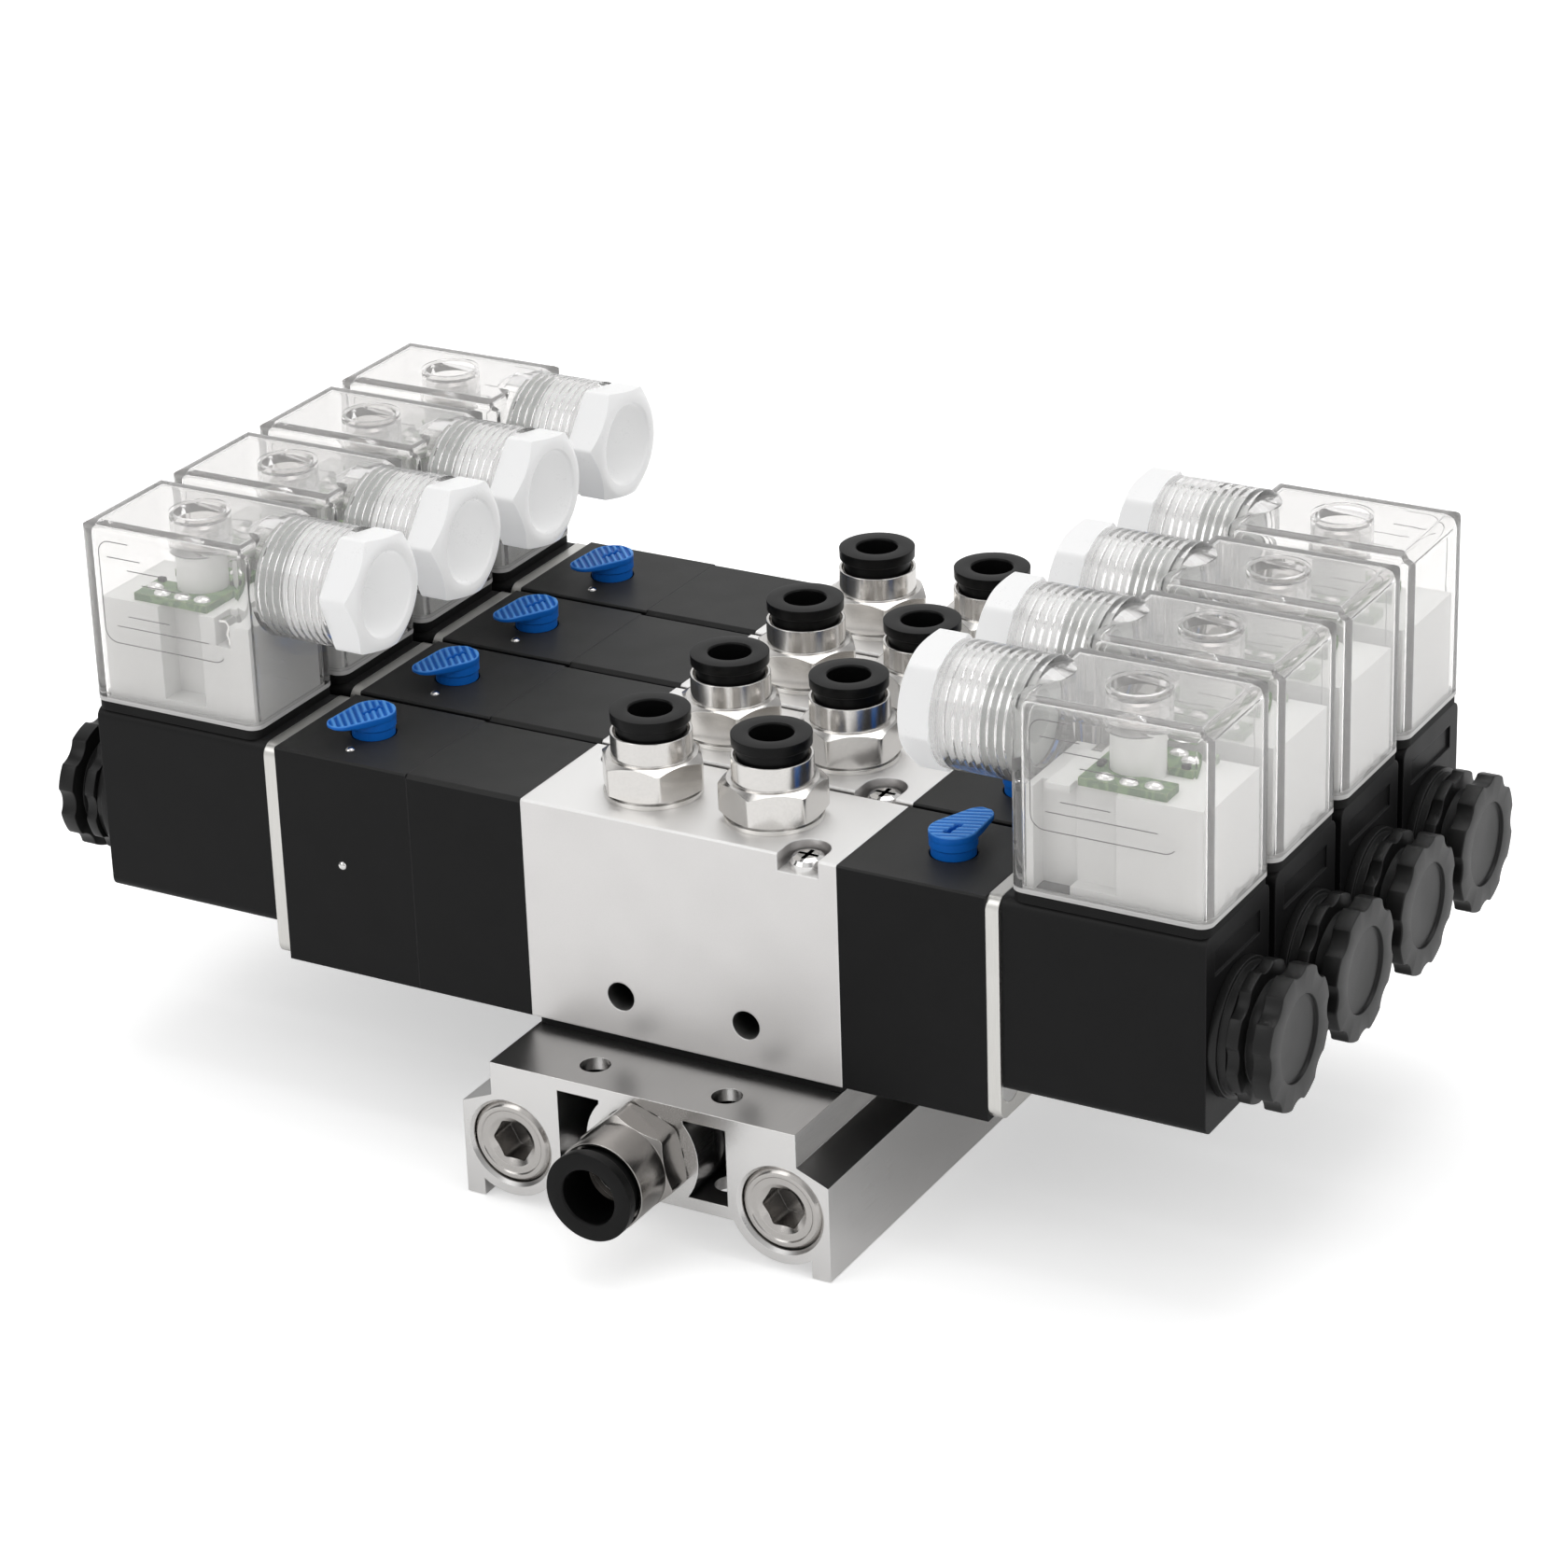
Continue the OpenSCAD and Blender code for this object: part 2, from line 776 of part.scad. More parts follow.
module plunger_springs() {
    color([0.55, 0.56, 0.58])
        each_end()
            translate([plate_u + plunger_l - plunger_pocket_l, 0, spool_z])
                rotate([0, 90, 0])
                    wound_spring(plunger_pocket_l + plunger_travel, plunger_pocket_r - 0.6, 0.25, 4, 5, 10);
}

module coils() {
    panel_w = 15;
    panel_h = 3.6;
    panel_depth = 0.4;
    panel_drop = 3;
    color([0.06, 0.06, 0.06])
        each_end()
            difference() {
                union() {
                    translate([coil_u, 0, coil_z + coil_h / 2])
                        rotate([90, 0, 90])
                            linear_extrude(coil_l)
                                rounded(coil_w, coil_h, 1.6);
                    blades(0);
                }
                bar_x(coil_u - 1, nut_u + 1, tube_r + 0.2);
                translate([cover_u, 0, valve_top - 4.5])
                    cylinder(h = 10, r = screw_r + 0.05);
                translate([nut_u - panel_depth, -panel_w / 2, valve_top - panel_drop - panel_h])
                    cube([panel_depth + 1, panel_w, panel_h]);
            }
}

// The three contact blades on top of a coil, grown by a clearance where something fits over them
module blades(grow) {
    h = blade_root + blade_h + grow;
    for (y = [-pair_y, pair_y])
        translate([cover_u + pair_u - blade_w / 2 - grow, y - blade_t / 2 - grow, valve_top - blade_root])
            cube([blade_w + 2 * grow, blade_t + 2 * grow, h]);
    translate([cover_u - earth_u - blade_t / 2 - grow, -blade_w / 2 - grow, valve_top - blade_root])
        cube([blade_t + 2 * grow, blade_w + 2 * grow, h]);
}

// Star outline with round scallops between flat lobes
module lobes(r) {
    difference() {
        circle(r);
        for (k = [0 : scallops - 1])
            rotate(k * 360 / scallops)
                translate([r + 2.6, 0])
                    circle(3.5);
    }
}

module coil_nuts() {
    flange_l = 1.4;
    tier_l = 2.2;
    gap_l = 2.2;
    knob_l = nut_l - flange_l - tier_l - gap_l;
    ring_depth = 0.4;
    color([0.16, 0.16, 0.16])
        each_end()
            translate([nut_u, 0, spool_z])
                rotate([0, 90, 0])
                    difference() {
                        union() {
                            cylinder(h = flange_l, r = nut_r - 0.3);
                            translate([0, 0, flange_l])
                                linear_extrude(tier_l)
                                    lobes(nut_r - 0.2);
                            cylinder(h = nut_l, r = nut_r - 2.4);
                            translate([0, 0, nut_l - knob_l])
                                linear_extrude(knob_l)
                                    lobes(nut_r);
                        }
                        translate([0, 0, -1])
                            cylinder(h = nut_l - stud_play + 1.2, r = stud_r + thread_fit);
                        translate([0, 0, nut_l - ring_depth])
                            difference() {
                                cylinder(h = 1, r = 6.6);
                                cylinder(h = 3, r = 5.9, center = true);
                            }
                    }
}

// Connector

module connector_gaskets() {
    color([0.05, 0.05, 0.05])
        each_end()
            difference() {
                translate([cover_u, 0, valve_top])
                    linear_extrude(seal_t)
                        rounded(cover_l - 0.4, coil_w, edge_r);
                blades(blade_fit);
                translate([cover_u, 0, valve_top - 1])
                    cylinder(h = seal_t + 2, r = screw_r + screw_fit);
            }
}

// Pocket in one side of a terminal block, open at the top
module side_pocket(side, start, length, depth, floor_h) {
    y = side > 0 ? block_w / 2 - depth : -block_w / 2 - 1;
    translate([block_u + start, y, cover_z + floor_h])
        cube([length, depth + 1, block_h]);
}

module terminal_blocks() {
    color([0.93, 0.94, 0.94])
        each_end()
            difference() {
                union() {
                    translate([block_u, -block_w / 2, cover_z])
                        cube([block_l, block_w, block_h]);
                    translate([cover_u, 0, cover_z])
                        cylinder(h = well_z - cover_z, r = post_r);
                }
                translate([cover_u, 0, cover_z - 1])
                    cylinder(h = cover_h, r = screw_r + screw_fit);
                blades(blade_fit);
                side_pocket(1, slot_start, slot_l, slot_depth, pocket_floor);
                side_pocket(1, corner_l, niche_l, slot_depth, block_h - niche_h);
                side_pocket(-1, column_l, hollow_l, hollow_depth, -1);
                side_pocket(-1, column_l + hollow_l - eps, shelf_l, shelf_depth, pocket_floor);
                translate([block_u - 1, -block_w, block_top - corner_drop])
                    cube([corner_l + 1, 2 * block_w, block_h]);
            }
}

// Small board that lies on the block round its post
module circuit_boards() {
    color([0.25, 0.50, 0.22])
        each_end()
            difference() {
                translate([cover_u - board_in, -board_w / 2, block_top])
                    cube([board_in + board_out, board_w, board_t]);
                translate([cover_u, 0, block_top - 1])
                    cylinder(h = board_t + 2, r = post_r + 0.15);
                translate([cover_u, -board_slot_y - board_slot_w / 2, block_top - 1])
                    cube([board_out + 1, board_slot_w, board_t + 2]);
            }
}

module connector_covers() {
    teeth = floor(neck_l / thread_pitch);
    color([0.90, 0.93, 0.95, 0.35])
        each_end()
            difference() {
                union() {
                    translate([cover_u, 0, cover_z])
                        rounded_block(cover_l, coil_w, cover_h, edge_r);
                    bar_x(gland_u, cover_in_u + edge_r, neck_r, neck_z);
                    translate([cover_in_u + edge_r, 0, neck_z])
                        rotate([0, 90, 0])
                            cylinder(h = 4, r1 = neck_r, r2 = neck_r - 2.2);
                    translate([cover_u, 0, cover_top - 1])
                        cylinder(h = 1 + well_rim, r = well_r + well_wall);
                }
                difference() {
                    union() {
                        translate([cover_u, 0, cover_z - eps])
                            rounded_block(cover_l - 2 * cover_wall, coil_w - 2 * cover_wall,
                                          cover_h - cover_wall + eps, edge_r - 1.2);
                        bar_x(cover_in_u - eps, cover_in_u + edge_r + 2, neck_bore_r - 1.2, neck_z);
                    }
                    translate([cover_u, 0, well_z])
                        cylinder(h = cover_h, r = well_r + well_wall);
                }
                translate([cover_u, 0, well_z + well_floor])
                    cylinder(h = cover_h, r = well_r);
                translate([cover_u, 0, well_z - 1])
                    cylinder(h = 3, r = screw_r + screw_fit);
                bar_x(gland_u - 1, cover_in_u, neck_bore_r, neck_z);
                turned_x([[0, gland_u + 0.3],
                          for (k = [0 : teeth - 1], step = [0, 0.5])
                              [neck_bore_r - 0.1 + (step > 0 ? thread_depth + 0.1 : 0),
                               gland_u + 0.3 + (k + step) * thread_pitch],
                          [neck_bore_r - 0.1, gland_u + 0.3 + teeth * thread_pitch],
                          [0, gland_u + 0.3 + teeth * thread_pitch]], neck_z);
            }
}

module connector_screws() {
    color([0.80, 0.80, 0.80])
        each_end()
            translate([cover_u, 0, well_z + well_floor])
                pan_screw(well_z + well_floor - valve_top + 4.2);
}

module gland_nuts() {
    color([0.95, 0.95, 0.94])
        each_end()
            difference() {
                union() {
                    translate([gland_u, 0, neck_z])
                        rotate([0, -90, 0])
                            rotate([0, 0, 20])
                                hex_nut(gland_flats, gland_l, 1);
                    bar_x(gland_u - eps, gland_u + shank_l, neck_bore_r - 0.1 - thread_fit, neck_z);
                }
                bar_x(gland_u - gland_l - 1, gland_u + shank_l + 1, gland_bore_r, neck_z);
            }
}

module gland_seals() {
    color([0.80, 0.81, 0.80])
        each_end()
            difference() {
                bar_x(gland_u + shank_l, cover_in_u, neck_bore_r - 0.2, neck_z);
                bar_x(gland_u, cover_in_u + 1, cable_r, neck_z);
            }
}

// Fittings

// Release collar about z; its flange stands above z = 0, the mouth of the fitting
module release_collar(tube_r, neck_r, rim_r, rise, sleeve_l) {
    difference() {
        union() {
            translate([0, 0, -sleeve_l])
                cylinder(h = sleeve_l, r = tube_r + 0.9);
            translate([0, 0, -0.4])
                cylinder(h = rise + 0.4, r = neck_r);
            translate([0, 0, rise])
                cylinder(h = collar_flange_h, r = rim_r);
        }
        translate([0, 0, -sleeve_l - 1])
            cylinder(h = sleeve_l + rise + 5, r = tube_r + 0.2);
    }
}

// Cavity that a release collar slides in, below z = 0, with the tube's socket under it
module collar_cavity(tube_r, neck_r, sleeve_l, socket_l, through_l) {
    translate([0, 0, -release - 0.6])
        cylinder(h = release + 2, r = neck_r + slide_fit);
    translate([0, 0, -sleeve_l - release - 0.2])
        cylinder(h = sleeve_l + release + 1, r = tube_r + 0.9 + slide_fit);
    translate([0, 0, -sleeve_l - release - socket_l])
        cylinder(h = socket_l + 1, r = tube_r + tube_fit);
    translate([0, 0, -through_l])
        cylinder(h = through_l, r = tube_r - 0.8);
}

module outlet_fitting(hex_turn) {
    stem = outlet_depth - 0.5;
    washer_h = 0.8;
    difference() {
        union() {
            translate([0, 0, -stem])
                cylinder(h = stem + eps, r = port_r - thread_fit);
            cylinder(h = washer_h, r = hex_flats / 2 + 0.2);
            translate([0, 0, washer_h])
                rotate([0, 0, hex_turn])
                    hex_nut(hex_flats, hex_h - washer_h);
            cylinder(h = outlet_mouth, r = ring_r);
        }
        translate([0, 0, outlet_mouth])
            collar_cavity(outlet_tube_r, outlet_neck_r, outlet_sleeve, outlet_socket,
                          outlet_mouth + stem + 1);
    }
}

module at_outlet(side, i) {
    translate([side * outlet_x, station_y(i), valve_top])
        children();
}

// Frame at the front supply port, z pointing out of it
module at_supply() {
    translate([0, -base_l / 2, supply_z])
        rotate([90, 0, 0])
            children();
}

module fitting_bodies() {
    stem = port_depth - 1.5;
    color([0.80, 0.80, 0.81]) {
        for (i = [1 : stations])
            for (side = [-1, 1])
                at_outlet(side, i)
                    outlet_fitting(side > 0 ? 0 : 30);
        at_supply()
            difference() {
                union() {
                    translate([0, 0, -stem])
                        cylinder(h = stem + eps, r = port_r - thread_fit);
                    rotate([0, 0, 12])
                        hex_nut(hex_flats, supply_hex_l);
                    cylinder(h = supply_mouth, r = barrel_r);
                }
                translate([0, 0, supply_mouth])
                    collar_cavity(supply_tube_r, supply_neck_r, supply_sleeve, supply_socket,
                                  supply_mouth + stem + 1);
            }
    }
}

module outlet_collar() {
    color([0.10, 0.10, 0.10])
        translate([0, 0, outlet_mouth])
            release_collar(outlet_tube_r, outlet_neck_r, ring_r - 0.1, collar_rise, outlet_sleeve);
}

module supply_collar() {
    color([0.10, 0.10, 0.10])
        at_supply()
            translate([0, 0, supply_mouth])
                release_collar(supply_tube_r, supply_neck_r, barrel_r - 0.2, collar_rise, supply_sleeve);
}

// Hexagon-socket plug that closes a port, nearly flush with the base's end
module port_plug() {
    translate([0, 0, -8.3])
        difference() {
            cylinder(h = 8, r = port_r - thread_fit);
            translate([0, 0, 3])
                cylinder(h = 6, r = 6 / sqrt(3), $fn = 6);
        }
}

module port_plugs() {
    color([0.66, 0.66, 0.67]) {
        for (side = [-1, 1])
            translate([side * exhaust_x, -base_l / 2, exhaust_z])
                rotate([90, 0, 0])
                    port_plug();
        translate([0, base_l / 2, supply_z])
            rotate([-90, 0, 0])
                port_plug();
    }
}

// Drawing

to_origin() manifold_base();
to_origin() valve_gaskets();
to_origin() spring_housings();
to_origin() pilot_housings();
to_origin() tube_plates();
to_origin() coils();
to_origin() coil_nuts();
to_origin() connector_gaskets();
to_origin() terminal_blocks();
to_origin() circuit_boards();
to_origin() connector_covers();
to_origin() valve_screws();
to_origin() connector_screws();
to_origin() gland_nuts();
to_origin() gland_seals();
to_origin() fitting_bodies();
to_origin() port_plugs();
to_origin() centering_springs();
to_origin() plunger_springs();
to_origin() supply_collar();
for (i = [1 : stations]) {
    to_origin() at_station(i) valve_body();
    to_origin() at_station(i) spool();
    to_origin() at_end(-1, i) plunger();
    to_origin() at_end(1, i) plunger();
    to_origin() at_end(-1, i) override_stem();
    to_origin() at_end(1, i) override_stem();
    to_origin() at_end(-1, i) override_knob();
    to_origin() at_end(1, i) override_knob();
    to_origin() at_outlet(-1, i) outlet_collar();
    to_origin() at_outlet(1, i) outlet_collar();
}
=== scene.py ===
# %% [markdown]
# A bank of four solenoid valves
#
# Four air valves stand side by side on one aluminium base, and each has an electric coil at both
# ends. The CAD model holds every piece at its real size. This lesson gives each piece the surface
# that a camera sees: moulded plastic, brushed aluminium, bright plating and clear covers. Blender
# counts in metres, but the shapes below are worked out in millimetres, as on a drawing.

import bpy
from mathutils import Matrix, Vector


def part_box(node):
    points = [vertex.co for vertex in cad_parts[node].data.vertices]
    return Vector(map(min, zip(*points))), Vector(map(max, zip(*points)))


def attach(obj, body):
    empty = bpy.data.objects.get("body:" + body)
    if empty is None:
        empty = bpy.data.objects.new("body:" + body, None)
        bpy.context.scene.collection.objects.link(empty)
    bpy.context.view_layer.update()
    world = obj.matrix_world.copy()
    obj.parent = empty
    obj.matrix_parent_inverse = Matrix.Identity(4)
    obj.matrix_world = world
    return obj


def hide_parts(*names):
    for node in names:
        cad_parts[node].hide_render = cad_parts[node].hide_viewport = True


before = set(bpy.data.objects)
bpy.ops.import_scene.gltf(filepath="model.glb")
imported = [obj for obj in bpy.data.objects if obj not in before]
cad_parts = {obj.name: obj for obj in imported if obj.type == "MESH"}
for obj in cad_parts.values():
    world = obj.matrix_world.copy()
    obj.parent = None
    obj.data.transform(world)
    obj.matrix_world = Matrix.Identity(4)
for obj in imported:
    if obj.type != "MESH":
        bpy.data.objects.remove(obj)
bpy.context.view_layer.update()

# %% [markdown]
# Places
#
# A piece that is made here has to sit where the CAD says. Typed places would be wrong as soon as
# the CAD model changed, so they are read from the boxes of its nodes. Only what no box tells is
# typed, with the same sizes as in the CAD source.

import bmesh
import bpy
import numpy as np
from mathutils import Matrix, Vector

MM = 0.001
STATIC = "manifold"
X, Y, Z = np.eye(3)


def corners(node):
    """Lowest and highest corner of a CAD node, in millimetres."""
    low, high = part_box(node)
    return np.array(low) / MM, np.array(high) / MM


def middle(node):
    """Middle of a CAD node's box: half the sum of its two corners."""
    low, high = corners(node)
    return (low + high) / 2


# %% Stations and levels
BODY = "valve_body_"
STATIONS = sorted(int(node[len(BODY):]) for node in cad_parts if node.startswith(BODY))
station_y = {i: float(middle(f"{BODY}{i}")[1]) for i in STATIONS}
valve_right, _, valve_top = corners(f"{BODY}{STATIONS[0]}")[1].tolist()
spring_left = float(corners("spring_housings")[0][0])
spool_z = float(middle("spool_1")[2])
base_low, base_high = corners("manifold_base")
END_FACE = {1: valve_right, -1: spring_left}
SIDE_NAME = {1: "right", -1: "left"}
ENDS = [(side, station) for station in STATIONS for side in (-1, 1)]
print("stations at", station_y, "pilot ends", len(ENDS))
print("valve top", round(valve_top, 2), "spool axis", round(spool_z, 2))

# %% [markdown]
# One pilot end
#
# All eight pilot ends are the same: housing, plate, coil and nut in a line, with the connector on
# top. So each shape is worked out once, from the face that the pilot housing stands on, and then
# set at every end. A value that ends in _U is a distance outwards from that face.

# %% Sizes along one pilot end
PILOT_L, PLATE_T, COIL_L, COIL_W = 23.3, 2.0, 31.0, 20.8
COVER_L, COVER_SHIFT, SEAL_T = 30.0, 0.8, 1.5
NECK_L, NECK_H = 12.5, 21.5
OVERRIDE_BACK = 10.5
COIL_U = PILOT_L + PLATE_T
NUT_U = COIL_U + COIL_L
COVER_U = COIL_U + COIL_L / 2 + COVER_SHIFT
COVER_IN = COVER_U - COVER_L / 2
GLAND_U = COVER_IN - NECK_L
OVERRIDE_U = PILOT_L - OVERRIDE_BACK
COVER_FOOT = valve_top + SEAL_T
NECK_Z = COVER_FOOT + NECK_H
BOARD_TOP = float(corners("circuit_boards")[1][2])


def to_row(side, station, points):
    """A pilot end's points (outwards, across, up) in the row: the left end is turned half round."""
    out, across, up = np.moveaxis(np.asarray(points, float), -1, 0)
    return np.stack([END_FACE[side] + side * out, station_y[station] + side * across, up], -1)


print("a pilot end is", NUT_U, "mm long up to its nut")

# %% [markdown]
# Camera
#
# The photograph was taken with a long lens from 30 degrees to the right of the base and 24 degrees
# above it, with the camera rolled by 2 degrees. A camera could be turned by hand until it looks
# right. Here its place was worked out from corners of the valve bodies whose real places are
# known, because that is exact. A little shift puts the object where the photograph has it.

# %% Camera
FROM_BASE = (321.18, -570.29, 345.64)
AZIMUTH, ELEVATION, ROLL = np.radians([29.965, 23.996, 1.952])
FRAME_PIXELS, FOCAL_PIXELS = 1680, 5123.4
CENTRE_RIGHT, CENTRE_DOWN = 1.98, -41.52
SENSOR_WIDTH, FAR_METRES = 36, 20

camera = bpy.data.objects.new("camera", bpy.data.cameras.new("camera"))
bpy.context.collection.objects.link(camera)
base_middle = [*(base_low + base_high)[:2] / 2, 0]
camera_at = Vector(FROM_BASE + np.array(base_middle)) * MM
camera.matrix_world = (Matrix.Translation(camera_at) @ Matrix.Rotation(AZIMUTH, 4, "Z")
                       @ Matrix.Rotation(np.pi / 2 - ELEVATION, 4, "X") @ Matrix.Rotation(-ROLL, 4, "Z"))
camera.data.sensor_width = SENSOR_WIDTH
camera.data.lens = SENSOR_WIDTH * FOCAL_PIXELS / FRAME_PIXELS
camera.data.shift_x = -CENTRE_RIGHT / FRAME_PIXELS
camera.data.shift_y = CENTRE_DOWN / FRAME_PIXELS
camera.data.clip_end = FAR_METRES
bpy.context.scene.camera = camera
bpy.context.scene.view_settings.view_transform = "Standard"
print("lens", round(camera.data.lens, 1), "mm")

# %% [markdown]
# Shader sums
#
# A material is a small calculation, and each step of it is a node. Nodes can be added and linked
# one by one, but then a simple sum takes many lines. A wrapper round a socket lets plain Python
# sums add the Math nodes instead, and one function adds any other node.

# %% Sockets that do sums
class Signal:
    """A value that flows through a node tree. Sums on it add Math nodes."""

    def __init__(self, tree, socket):
        self.tree, self.socket = tree, socket

    def sum(self, operation, first, second=None, clamp=False):
        """Adds a Math node for an operation on one or two values."""
        return add_node(self.tree, "ShaderNodeMath", {"operation": operation, "use_clamp": clamp},
                        {0: first} if second is None else {0: first, 1: second})

    def __add__(self, other):
        return self.sum("ADD", self, other)

    def __radd__(self, other):
        return self.sum("ADD", other, self)

    def __sub__(self, other):
        return self.sum("SUBTRACT", self, other)

    def __rsub__(self, other):
        return self.sum("SUBTRACT", other, self)

    def __mul__(self, other):
        return self.sum("MULTIPLY", self, other)

    def __rmul__(self, other):
        return self.sum("MULTIPLY", other, self)

    def __truediv__(self, other):
        return self.sum("DIVIDE", self, other)

    def __pow__(self, other):
        return self.sum("POWER", self, other)

    def __abs__(self):
        return self.sum("ABSOLUTE", self)

    def nearest(self):
        """The nearest whole number."""
        return self.sum("ROUND", self)

    def limited(self):
        """The value held between 0 and 1."""
        return self.sum("ADD", self, 0.0, clamp=True)


def add_node(tree, kind, settings=None, inputs=None, output=0):
    """Adds one node: its settings first, then the values or links of its sockets."""
    node = tree.nodes.new(kind)
    for name, value in (settings or {}).items():
        setattr(node, name, value)
    for name, value in (inputs or {}).items():
        if isinstance(value, Signal):
            tree.links.new(value.socket, node.inputs[name])
        else:
            node.inputs[name].default_value = value
    return None if output is None else Signal(tree, node.outputs[output])


# %% [markdown]
# What the finishes share
#
# Real surfaces have things in common, such as clouds and grain. The finishes also share painted
# light: a highlight painted along edges, a grey on tops that is partly dust and partly painted
# sheen, and shade painted in corners and holes. Each could be drawn as a picture and wrapped round
# the piece, but a pattern worked out from the place of each point has no seams and stays sharp.
# Each is one method here.

# %% Patterns
EDGE_GAIN = 5


def colour(red, green, blue):
    return (red, green, blue, 1.0)


def darker(tone, share):
    """A colour times share."""
    return colour(*(part * share for part in tone[:3]))


class Finish:
    """One material: methods for the patterns that several finishes share."""

    def __init__(self, name):
        self.material = bpy.data.materials.new(name)
        self.material.use_nodes = True
        self.tree = self.material.node_tree
        self.tree.nodes.clear()
        self.place = self.node("ShaderNodeTexCoord", output="Object")

    def node(self, kind, settings=None, inputs=None, output=0):
        return add_node(self.tree, kind, settings, inputs, output)

    def along(self, axis):
        """A point's place on an axis, in millimetres."""
        return self.node("ShaderNodeSeparateXYZ", {}, {0: self.place}, output=axis) / MM

    def noise(self, size, detail=2.0, stretch=(1, 1, 1)):
        """Noise whose lumps are about size millimetres, made longer along an axis by stretch."""
        scaled = self.node("ShaderNodeVectorMath", {"operation": "MULTIPLY"},
                           {0: self.place, 1: [1 / s for s in stretch]})
        return self.node("ShaderNodeTexNoise", {}, {"Vector": scaled, "Scale": 1 / (size * MM),
                                                    "Detail": detail})

    def blend(self, factor, first, second):
        """Colour that goes from first to second with factor."""
        return self.node("ShaderNodeMix", {"data_type": "RGBA"},
                         {0: factor, 6: first, 7: second}, output=2)

    def rounded(self, radius):
        """Normal that looks as if sharp edges were rounded by radius millimetres."""
        return self.node("ShaderNodeBevel", {"samples": 4}, {"Radius": radius * MM})

    def edges(self, normal):
        """1 along an edge, 0 on a flat: EDGE_GAIN times 1 less the cosine between two normals."""
        true = self.node("ShaderNodeNewGeometry", output="Normal")
        alike = self.node("ShaderNodeVectorMath", {"operation": "DOT_PRODUCT"},
                          {0: normal, 1: true}, output="Value")
        return ((1 - alike) * EDGE_GAIN).limited()

    def upwards(self):
        """1 on a face that looks straight up, 0 on an upright one: the normal's height."""
        true = self.node("ShaderNodeNewGeometry", output="Normal")
        return self.node("ShaderNodeSeparateXYZ", {}, {0: true}, output="Z").limited()

    def recess(self, reach):
        """1 deep in a hole, 0 in the open: how much within reach millimetres is closed in."""
        settings = {"samples": 4, "only_local": True}
        openness = self.node("ShaderNodeAmbientOcclusion", settings, {"Distance": reach * MM},
                             output="AO")
        return 1 - openness

    def bump(self, height, depth, normal=None):
        """Normal of a surface that height lifts by up to depth millimetres."""
        inputs = {"Height": height, "Distance": depth * MM, "Strength": 1.0}
        if normal is not None:
            inputs["Normal"] = normal
        return self.node("ShaderNodeBump", {}, inputs)

    def surface(self, **inputs):
        """Ends the material with a Principled shader that has these inputs."""
        named = {name.replace("_", " "): value for name, value in inputs.items()}
        self.output(self.node("ShaderNodeBsdfPrincipled", {}, named))
        return self.material

    def output(self, shader):
        self.node("ShaderNodeOutputMaterial", {}, {"Surface": shader}, output=None)


FINISHES = {}


def keep(name, material):
    """Files a material under its name."""
    FINISHES[name] = material
    return material


# %% [markdown]
# Moulded plastic
#
# The housings, coils, nuts, collars and knobs are moulded nylon, and the seals are rubber. A mould
# leaves a fine spark-eroded grain and a slightly cloudy gloss, and the edges get a painted highlight.
# The real pieces differ only in colour, gloss, grain and edge, so one function makes them all. The
# blue knobs are painted paler on the crests of their ribs, which lie at a known height: a painted
# highlight.

# %% Plastic
KNOB_TOP, RIB_DEPTH = 3.8, 0.32
CLOUD_SIZE, CLOUD_SHARE, EDGE_HIGHLIGHT_SHARE = 6, 0.5, 0.6
CLOUD_GLOSS, SPECK_GLOSS = 0.12, 0.10
# Grey on the faces that look up: partly dust, partly a painted sheen.
DUST_AND_SHEEN = colour(0.30, 0.30, 0.29)


def plastic(name, base, edge, roughness, grain, depth, soft_edge, shade=0.72, dust_and_sheen=0.0,
            rib_highlight=None, **more):
    """Moulded plastic: cloudy base colour, highlights painted on the edges, grain of depth millimetres.

    The clouds go part of the way from the base to the base times shade. The faces that look up get
    a grey that is partly dirt and partly painted sheen, and the crests of the knobs' ribs a painted
    highlight.
    """
    f = Finish(name)
    normal = f.rounded(soft_edge)
    cloud = f.noise(CLOUD_SIZE, 3)
    speck = f.noise(grain, 3)
    tone = f.blend(cloud * CLOUD_SHARE, base, darker(base, shade))
    # Faces that look up go grey: partly dust, partly a painted sheen.
    if dust_and_sheen:
        tone = f.blend(f.upwards() * dust_and_sheen, tone, DUST_AND_SHEEN)
    # The crests of the knobs' ribs are painted paler: a painted highlight.
    if rib_highlight is not None:
        groove = valve_top + KNOB_TOP - RIB_DEPTH
        tone = f.blend(((f.along("Z") - groove) / RIB_DEPTH).limited(), tone, rib_highlight)
    # A highlight painted along the edges, in the second colour.
    tone = f.blend(f.edges(normal) * EDGE_HIGHLIGHT_SHARE, tone, edge)
    rough = roughness + (cloud - 0.5) * CLOUD_GLOSS + (speck - 0.5) * SPECK_GLOSS
    return keep(name, f.surface(Base_Color=tone, Roughness=rough,
                                Normal=f.bump(speck, depth, normal), **more))


# %% Plastics of this manifold
DULL, SHEEN = 0.16, 0.28
